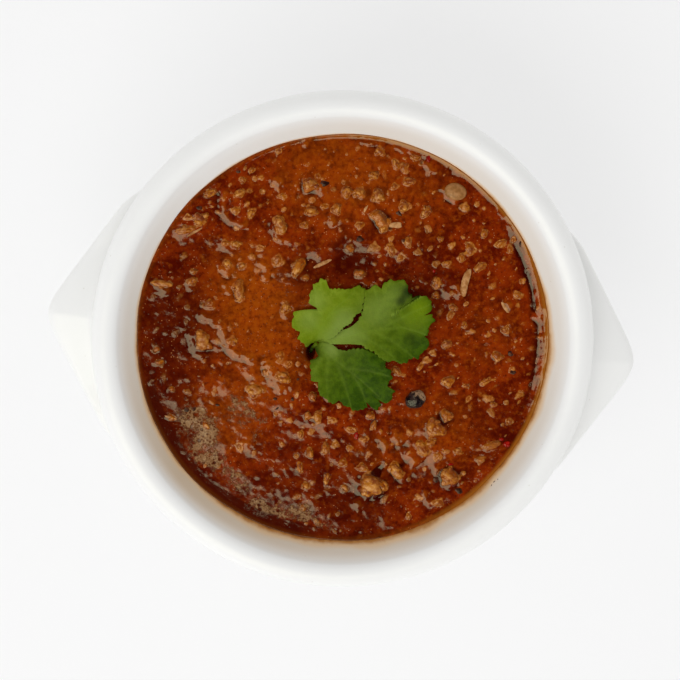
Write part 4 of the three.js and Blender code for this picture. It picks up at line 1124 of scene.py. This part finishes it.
def mince_finish(crumb):
    """Golden-brown crumbly mince in a thin coat of sauce, red-brown in its creases, with painted highlights
    on its knobs and painted shade on its sides away from the lamp.
    """
    material, tree, shader = new_material("soy_mince", Roughness=0.42, IOR=1.45, Specular_IOR_Level=0.45)
    point = object_point(tree)
    relief, break_up = use_crumb(crumb, point, 0.7)
    knob, bare = stored(tree, "knob"), stored(tree, "bare")
    body = two_tone(grain(point, 2.2, 3.0), 0.36, 0.64, (142, 70, 3), (178, 108, 18))
    pale = blend(ramp(break_up, 0.1, 0.6), body, linear(206, 148, 74))
    # Painted highlights on the knobs' tops
    colour = blend(times(ramp(knob, 0.45, 0.95), 0.75), body, pale)
    colour = blend(ramp(knob, 0.22, 0.0), colour, linear(112, 44, 3))
    colour = tint(colour, ramp(grain(point, 1.7, 3.0, 0.6), 0.50, 0.60), 0.7, (124, 50, 3))
    # Painted shade on the sides that face away from the lamp
    colour = tint(colour, stored(tree, "painted_far_side_shade"), 0.55, (98, 34, 2))
    coated = two_tone(grain(point, 1.2, 3.0), 0.4, 0.6, (128, 54, 3), (156, 84, 10))
    colour = blend(bare, coated, colour)
    roughness = plus(times(bare, 0.14), 0.12)
    join(tree, shader, Base_Color=colour, Roughness=roughness, Normal=bump(relief, 0.08))
    return material


def mince_pieces(relief, heights, granules, crumb):
    """The crumbles that stand out are one piece, and the small crumbs another."""
    source = np.random.default_rng(CRUMBLE_SEED)
    finish = mince_finish(crumb)
    for name, small, least_out in (("mince_crumbles", False, 0.0), ("mince_crumbs", True, CRUMB_LEAST_OUT)):
        form = bmesh.new()
        knobs = []
        for x, y, a, b, turn, top in granules:
            if (0.5 * (a + b) < CRUMB_RADIUS) != small:
                continue
            sunk = float(relief.sample(heights, x, y)) - top
            if sunk > -least_out or under_leaf(x, y, max(a, b) * 0.4):
                continue
            half = (CRUMBLE_SIZE * a, CRUMBLE_SIZE * b, CORE_FULLNESS * b)
            middle = (x, y, CHILI_LEVEL + top - CRUMBLE_SINK * half[2])
            detail, knob_count = (2, 5) if small else (4 if a > LARGE_CRUMBLE else 3, int(9 + 4 * a))
            knobs.append(crumble(form, middle, half, turn, detail, knob_count, source))
        piece = finished(name, form, finish)
        give_values(piece, "knob", np.concatenate(knobs))
        x, y, z = places_of(piece).T
        give_values(piece, "bare", smoothstep(0.02, 0.45, z - CHILI_LEVEL - relief.sample(heights, x, y)))
        # Painted shade on the sides of the crumbles that face away from the lamp
        facing = np.array([vert.normal for vert in piece.data.vertices])[:, :2] @ np.array(SOFTBOX_SIDE)
        give_values(piece, "painted_far_side_shade", smoothstep(0.0, -0.8, facing))


def scattered(name, shapes, material, relief, heights, flatness, sunk):
    """Small bits that lie in the sauce, joined into one piece."""
    source = np.random.default_rng(len(name))
    wall, _ = inner_wall(200)
    form = bmesh.new()
    for x, y, length, width, turn in shapes:
        half = (length / 2, width / 2, flatness * width / 2)
        on_wall = float(np.interp(math.hypot(x, y), wall[:, 0], wall[:, 1]))
        surface = max(CHILI_LEVEL + float(relief.sample(heights, x, y)), on_wall)
        crumble(form, (x, y, surface + (0.5 - sunk) * 2 * half[2]), half, turn, 3, 6, source)
    finished(name, form, material)


# ---------------------------------------------------------------- the coriander leaf
def lobe_reach(table, turn):
    """The lobe's reach at each turn in degrees."""
    turns = np.array([entry[0] for entry in table], float)
    reaches = np.array([entry[1] for entry in table], float)
    turns = np.concatenate((turns[-1:] - 360, turns, turns[:1] + 360))
    reaches = np.concatenate((reaches[-1:], reaches, reaches[:1]))
    return np.interp(turn, turns, reaches)


def distance_to_lines(lines, x, y):
    """Distance to the nearest vein, and how far along its vein that nearest place is."""
    nearest = np.full_like(x, 1e3)
    along = np.zeros_like(x)
    for line in lines:
        for index, _, share, gap in legs(line, x, y):
            distance = np.hypot(*gap)
            along = np.where(distance < nearest, (index + np.clip(share, 0.0, 1.0)) / (len(line) - 1), along)
            nearest = np.minimum(nearest, distance)
    return nearest, along


def fold_side(x, y):
    """Signed distance from the middle lobe's crease, above zero where it is raised, and how far along."""
    nearest, along = distance_to_lines((FOLD,), x, y)
    first, last = np.array(FOLD[0]), np.array(FOLD[-1])
    step = (last - first) / np.hypot(*(last - first))
    side = (x - first[0]) * step[1] - (y - first[1]) * step[0]
    return np.sign(side) * nearest, along


def fold_rise(x, y):
    """The crease rises steeply along its line and falls away slowly below it."""
    signed, along = fold_side(x, y)
    slope = np.exp(-np.clip(signed, 0.0, None) / FOLD_REACH)
    return smoothstep(-0.25, 0.25, signed) * slope * smoothstep(0.0, 0.4, along)


def vein_strength(name, x, y):
    """Distance to the lobe's nearest vein, and from 0 to 1 how near it is. Veins grow thinner outwards."""
    distance, along = distance_to_lines(VEINS[name], x, y)
    return distance, np.exp(-(distance / (VEIN_WIDTH * (1.25 - 0.8 * along))) ** 2)


def lobe_form(form, name):
    """Adds one lobe's blade to a form: a disc of rings stretched to the lobe's outline."""
    middle, table = LOBES[name]
    made = bmesh.ops.create_grid(form, x_segments=LOBE_STEPS, y_segments=LOBE_RINGS, size=1.0)["verts"]
    flat = corners_of(made)
    turn = (flat[:, 0] + 1) * 180.0
    radians = np.radians(turn)
    ring = (flat[:, 1] + 1) / 2
    depth = TEETH_DEPTH * (0.7 + 0.3 * np.sin(radians * 5.0))
    teeth = depth * (np.abs(np.sin(radians * TEETH_COUNT / 2)) - 0.6)
    radius = ring * (lobe_reach(table, np.mod(turn, 360.0)) + teeth * smoothstep(0.6, 1.0, ring))
    x = middle[0] + radius * np.cos(radians)
    y = middle[1] + radius * np.sin(radians)
    distance, vein = vein_strength(name, x, y)
    puff = PUFF_HEIGHT * smoothstep(0.0, 2.6, distance)
    curl = CURL_HEIGHT * smoothstep(0.75, 1.0, ring) * np.sin(radians * 5 + 1.0)
    to_hub = np.hypot(x - LEAF_HUB[0], y - LEAF_HUB[1])
    funnel = FUNNEL_DEPTH * np.exp(-(to_hub / FUNNEL_REACH) ** 2)
    layer = LOBE_LAYER[name] * smoothstep(1.5, 6.0, to_hub)
    z = leaf_height(x, y) + layer + puff + curl - VEIN_DEPTH * vein - funnel
    if name == "middle":
        z = z + FOLD_HEIGHT * fold_rise(x, y)
    move(made, np.column_stack((x, y, z)))
    return made


def leaf_finish():
    """Coriander green: yellower on the left lobe, darkest on the lower one, with faint paler veins. How light
    each lobe is, and the pale line along the crease, the grey sheen and the dark patches, are painted light,
    painted sheen and painted shade.
    """
    material, tree, shader = new_material(
        "coriander_green", Roughness=0.5, IOR=1.42, Specular_IOR_Level=0.06, Subsurface_Weight=0.08,
        Subsurface_Radius=(0.4, 1.0, 0.2), Subsurface_Scale=0.8 * MM)
    point = object_point(tree)
    mottle = ramp(grain(point, 2.4, 4.0, 0.6), 0.35, 0.65)
    dark = blend(mottle, linear(40, 64, 0), linear(58, 84, 0))
    pale = blend(mottle, linear(102, 122, 8), linear(118, 136, 26))
    # Painted light and shade between the dark and the pale green of each lobe
    green = blend(stored(tree, "painted_lobe_light"), dark, pale)
    green = tint(green, stored(tree, "olive"), 0.8, (102, 124, 2))
    # Painted sheen
    green = tint(green, stored(tree, "sheen"), 0.75, (118, 138, 58))
    green = tint(green, stored(tree, "vein"), 0.17, (118, 142, 44))
    green = blend(stored(tree, "shade"), green, linear(16, 32, 0))
    cells = bump(spots(point, 0.55), 0.04)
    join(tree, shader, Base_Color=green, Normal=bump(mottle, 0.05, cells))
    return material


# Areas of the leaf, each as x, y, radius and strength: yellower, a painted grey sheen, and painted shade
LEAF_AREAS = {
    "olive": (
        (-5.6, 3.0, 3.0, 0.9), (-4.2, 7.0, 2.4, 0.9), (-1.4, 10.6, 2.2, 0.6), (-9.6, 1.2, 3.0, 0.5),
        (20.0, 8.0, 4.5, 0.7), (21.0, 12.0, 3.0, 0.6),
    ),
    "sheen": (
        (0.0, 5.6, 3.6, 0.9), (-9.0, 10.6, 3.4, 0.5), (-10.0, 4.6, 3.0, 0.6), (8.4, 9.0, 4.6, 0.6),
        (-2.0, 0.4, 4.0, 0.9), (4.0, 1.4, 3.0, 0.6), (-3.0, -3.4, 2.0, 0.5), (13.0, 14.0, 3.0, 0.4),
    ),
    "shade": (
        (17.0, 15.6, 2.2, 0.9), (15.2, 12.8, 1.5, 0.7), (-8.4, -4.2, 2.4, 1.0), (19.4, 2.2, 2.0, 0.4),
    ),
}


def add_stalk(form):
    """The short stalk that bends down into the stew, as a chain of rods of one radius."""
    for first, last in zip(STALK[:-1], STALK[1:]):
        first, last = Vector(first), Vector(last)
        made = bmesh.ops.create_cone(
            form, cap_ends=True, segments=14, radius1=STALK_RADIUS, radius2=STALK_RADIUS,
            depth=(last - first).length + 0.5)["verts"]
        turn = (last - first).to_track_quat("Z", "Y").to_matrix().to_4x4()
        bmesh.ops.transform(form, matrix=Matrix.Translation((first + last) / 2) @ turn, verts=made)


def leaf_piece():
    form = bmesh.new()
    name_layer = form.verts.layers.int.new("lobe")
    for index, name in enumerate(LOBES):
        for vert in lobe_form(form, name):
            vert[name_layer] = index
    bmesh.ops.remove_doubles(form, verts=form.verts, dist=1e-4)
    bmesh.ops.recalc_face_normals(form, faces=form.faces)
    bmesh.ops.reverse_faces(form, faces=[face for face in form.faces if face.normal.z < 0])
    bmesh.ops.solidify(form, geom=form.faces[:], thickness=-LEAF_THICKNESS)
    add_stalk(form)
    bmesh.ops.recalc_face_normals(form, faces=form.faces)
    lobe = np.array([vert[name_layer] for vert in form.verts])
    piece = finished("coriander_sprig", form, leaf_finish(), ["coriander_leaf"])
    x, y = places_of(piece)[:, :2].T
    signed, along = fold_side(x, y)
    # A pale line painted along the crease as a highlight, joined to the veins' paler colour
    crease = 3.8 * np.exp(-((signed - 0.25) / 0.32) ** 2) * (along > 0.02)
    vein = np.zeros(len(x))
    light = np.zeros(len(x))
    for index, (name, (middle, _)) in enumerate(LOBES.items()):
        picked = lobe == index
        lobe_x, lobe_y = x[picked], y[picked]
        vein[picked] = vein_strength(name, lobe_x, lobe_y)[1]
        if name == "middle":
            vein[picked] = np.maximum(vein[picked], crease[picked])
        # Painted light and shade: each lobe's lightness, lighter towards its left
        tone = LOBE_PAINTED_LIGHT[name] - 0.03 * (lobe_x - middle[0]) + 0.01 * (lobe_y - middle[1])
        light[picked] = np.clip(tone, 0, 1)
    give_values(piece, "vein", vein)
    give_values(piece, "painted_lobe_light", light)
    wedge = np.exp(-(signed / 2.2) ** 2) * (signed < 0) * smoothstep(0.35, 0.95, along)
    for name, areas in LEAF_AREAS.items():
        strength = area_strength(areas, x, y)
        give_values(piece, name, np.maximum(strength, wedge) if name == "shade" else strength)


# ---------------------------------------------------------------- beans and onion
def pebble_form(shape):
    """A squashed ball with a lightly wrinkled skin, laid on the stew."""
    form = bmesh.new()
    bmesh.ops.create_icosphere(form, subdivisions=4, radius=1.0)
    half = Vector((shape["length"] / 2, shape["width"] / 2, shape["height"] / 2))
    aside = Vector((shape["x"], shape["y"], 0))
    for vert in form.verts:
        direction = vert.co.copy()
        along = math.copysign(abs(direction.x) ** shape.get("blunt", 1.0), direction.x)
        place = Vector((along * half.x, direction.y * half.y, direction.z * half.z))
        bumps = noise.noise(place / shape["wrinkle_size"] + aside)
        vert.co = place * (1.0 - shape["wrinkle"] * (0.5 + 0.5 * bumps))
        vert.co.y += shape.get("bow", 0.0) * (1 - (2 * vert.co.x / shape["length"]) ** 2)
    bmesh.ops.rotate(form, verts=form.verts, matrix=Matrix.Rotation(math.radians(shape["turn"]), 3, "Z"))
    bmesh.ops.translate(form, verts=form.verts, vec=aside + Vector((0, 0, CHILI_LEVEL + shape["rise"])))
    return form


def bean_skin():
    """Black and glossy, wrinkled, with a pale crust on one side."""
    material, tree, shader = new_material("black_bean_skin", Roughness=0.18, IOR=1.45)
    point = object_point(tree)
    black = two_tone(grain(point, 1.4, 3.0), 0.4, 0.65, (16, 10, 12), (52, 34, 30))
    patchy = plus(grain(point, 0.9, 4.0, 0.7), stored(tree, "crust"))
    colour = tint(black, ramp(patchy, 0.80, 0.95), 0.8, (158, 124, 92))
    join(tree, shader, Base_Color=colour, Normal=bump(grain(point, 0.9, 3.0), 0.35))
    return material


def flesh(name, dark, light, roughness):
    """Soft moist flesh, mottled between two colours."""
    material, tree, shader = new_material(name, Roughness=roughness, IOR=1.42, Specular_IOR_Level=0.3)
    point = object_point(tree)
    colour = two_tone(grain(point, 1.3, 3.0), 0.35, 0.65, dark, light)
    join(tree, shader, Base_Color=colour, Normal=bump(grain(point, 0.8, 3.0), 0.15))
    return material


def toppings(relief, heights):
    bean = finished(
        "black_bean_whole", pebble_form(BLACK_BEAN), bean_skin(), ["black_bean"])
    x, y = places_of(bean)[:, :2].T
    towards = 0.55 * (x - BLACK_BEAN["x"]) + 0.83 * (y - BLACK_BEAN["y"])
    give_values(bean, "crust", 0.45 * smoothstep(-0.6, 1.8, towards))
    pale = flesh("pale_bean_flesh", (136, 90, 44), (162, 112, 64), 0.24)
    finished("pale_bean_slice", pebble_form(PALE_BEAN), pale, ["pale_bean"])
    onion = flesh("onion_flesh", (152, 98, 50), (188, 136, 86), 0.2)
    finished("onion_sliver", pebble_form(ONION), onion, ["onion_strip"])
    scattered("onion_bits", SLIVERS, onion, relief, heights, flatness=0.6, sunk=0.55)
    char = flesh("charred_skin", (38, 8, 3), (84, 36, 14), 0.35)
    scattered("dark_flecks", FLECKS, char, relief, heights, flatness=0.4, sunk=0.78)
    pepper = flesh("red_pepper", (120, 6, 2), (158, 22, 8), 0.15)
    scattered("red_flakes", FLAKES, pepper, relief, heights, flatness=0.5, sunk=0.5)


# ---------------------------------------------------------------- the camera, the light and the floor
def view_camera():
    """Almost straight above, leaning towards the top of the picture, which is turned a little."""
    lean = math.radians(90.0 - VIEW_ELEVATION)
    side = Vector((*VIEW_SIDE, 0.0)).normalized()
    back = side * math.sin(lean) + Vector((0.0, 0.0, math.cos(lean)))
    roll = math.radians(VIEW_ROLL)
    right = Vector((-math.sin(roll), math.cos(roll), 0.0)).cross(back).normalized()
    up = back.cross(right)
    lens = bpy.data.cameras.new("view")
    lens.sensor_fit = "HORIZONTAL"
    lens.angle = 2 * math.atan(VIEW_SPAN / 2 / VIEW_DISTANCE)
    camera = bpy.data.objects.new("view", lens)
    camera.matrix_world = Matrix((right, up, back)).transposed().to_4x4()
    camera.location = (Vector(VIEW_TARGET) + back * VIEW_DISTANCE) * MM
    bpy.context.collection.objects.link(camera)
    bpy.context.scene.camera = camera


def softbox(name, size, distance, radiance, mirrored=False):
    """A square lamp that faces the bowl. It either lights the surfaces or shows in the wet ones."""
    lean = math.radians(SOFTBOX_LEAN)
    side = Vector((*SOFTBOX_SIDE, 0.0)).normalized()
    towards = side * math.sin(lean) + Vector((0.0, 0.0, math.cos(lean)))
    lamp = bpy.data.lights.new(name, "AREA")
    lamp.shape = "SQUARE"
    lamp.size = size * MM
    lamp.energy = radiance * math.pi * (size * MM) ** 2
    light = bpy.data.objects.new(name, lamp)
    light.location = towards * distance * MM + Vector((0, 0, CHILI_LEVEL * MM))
    light.rotation_euler = towards.to_track_quat("Z", "Y").to_euler()
    light.visible_diffuse = not mirrored
    light.visible_glossy = mirrored
    bpy.context.collection.objects.link(light)
    return lamp


def studio():
    scene = bpy.context.scene
    world = bpy.data.worlds.new("pale_studio")
    world.use_nodes = True
    tree = world.node_tree
    background = tree.nodes["Background"]
    background.inputs["Color"].default_value = (1.0, 1.0, 1.0, 1.0)
    up = add(tree, "SeparateXYZ", {0: add(tree, "TexCoord").outputs["Generated"]}).outputs["Z"]
    sky = ramp(up, 0.0, SKY_HORIZON_REACH, SKY_HORIZON, SKY_OVERHEAD)
    tree.links.new(sky, background.inputs["Strength"])
    world.cycles_visibility.glossy = False
    scene.world = world
    scene.view_settings.view_transform = "Standard"
    softbox("key", KEY_SIZE, KEY_DISTANCE, KEY_RADIANCE)
    sheen = softbox("sheen", SOFTBOX_SIZE, SOFTBOX_DISTANCE, SHEEN_RADIANCE, mirrored=True)
    sheen.color = SHEEN_COLOUR
    form = bmesh.new()
    bmesh.ops.create_grid(form, x_segments=2, y_segments=2, size=FLOOR_HALF_WIDTH * MM)
    mesh = bpy.data.meshes.new("floor")
    form.to_mesh(mesh)
    form.free()
    floor = bpy.data.objects.new("floor", mesh)
    floor.location.z = -FLOOR_GAP * MM
    bpy.context.collection.objects.link(floor)
    grey = (FLOOR_ALBEDO, FLOOR_ALBEDO, FLOOR_ALBEDO, 1.0)
    material, _, _ = new_material(
        "pale_floor", Roughness=0.7, Base_Color=grey, Emission_Color=(1.0, 1.0, 1.0, 1.0),
        Emission_Strength=FLOOR_GLOW, Specular_IOR_Level=0.0)
    mesh.materials.append(material)


view_camera()
studio()
crumb = crumb_group()
bowl_piece()
relief, heights, granules = stew_piece(crumb)
mince_pieces(relief, heights, granules, crumb)
leaf_piece()
toppings(relief, heights)

bpy.context.view_layer.update()
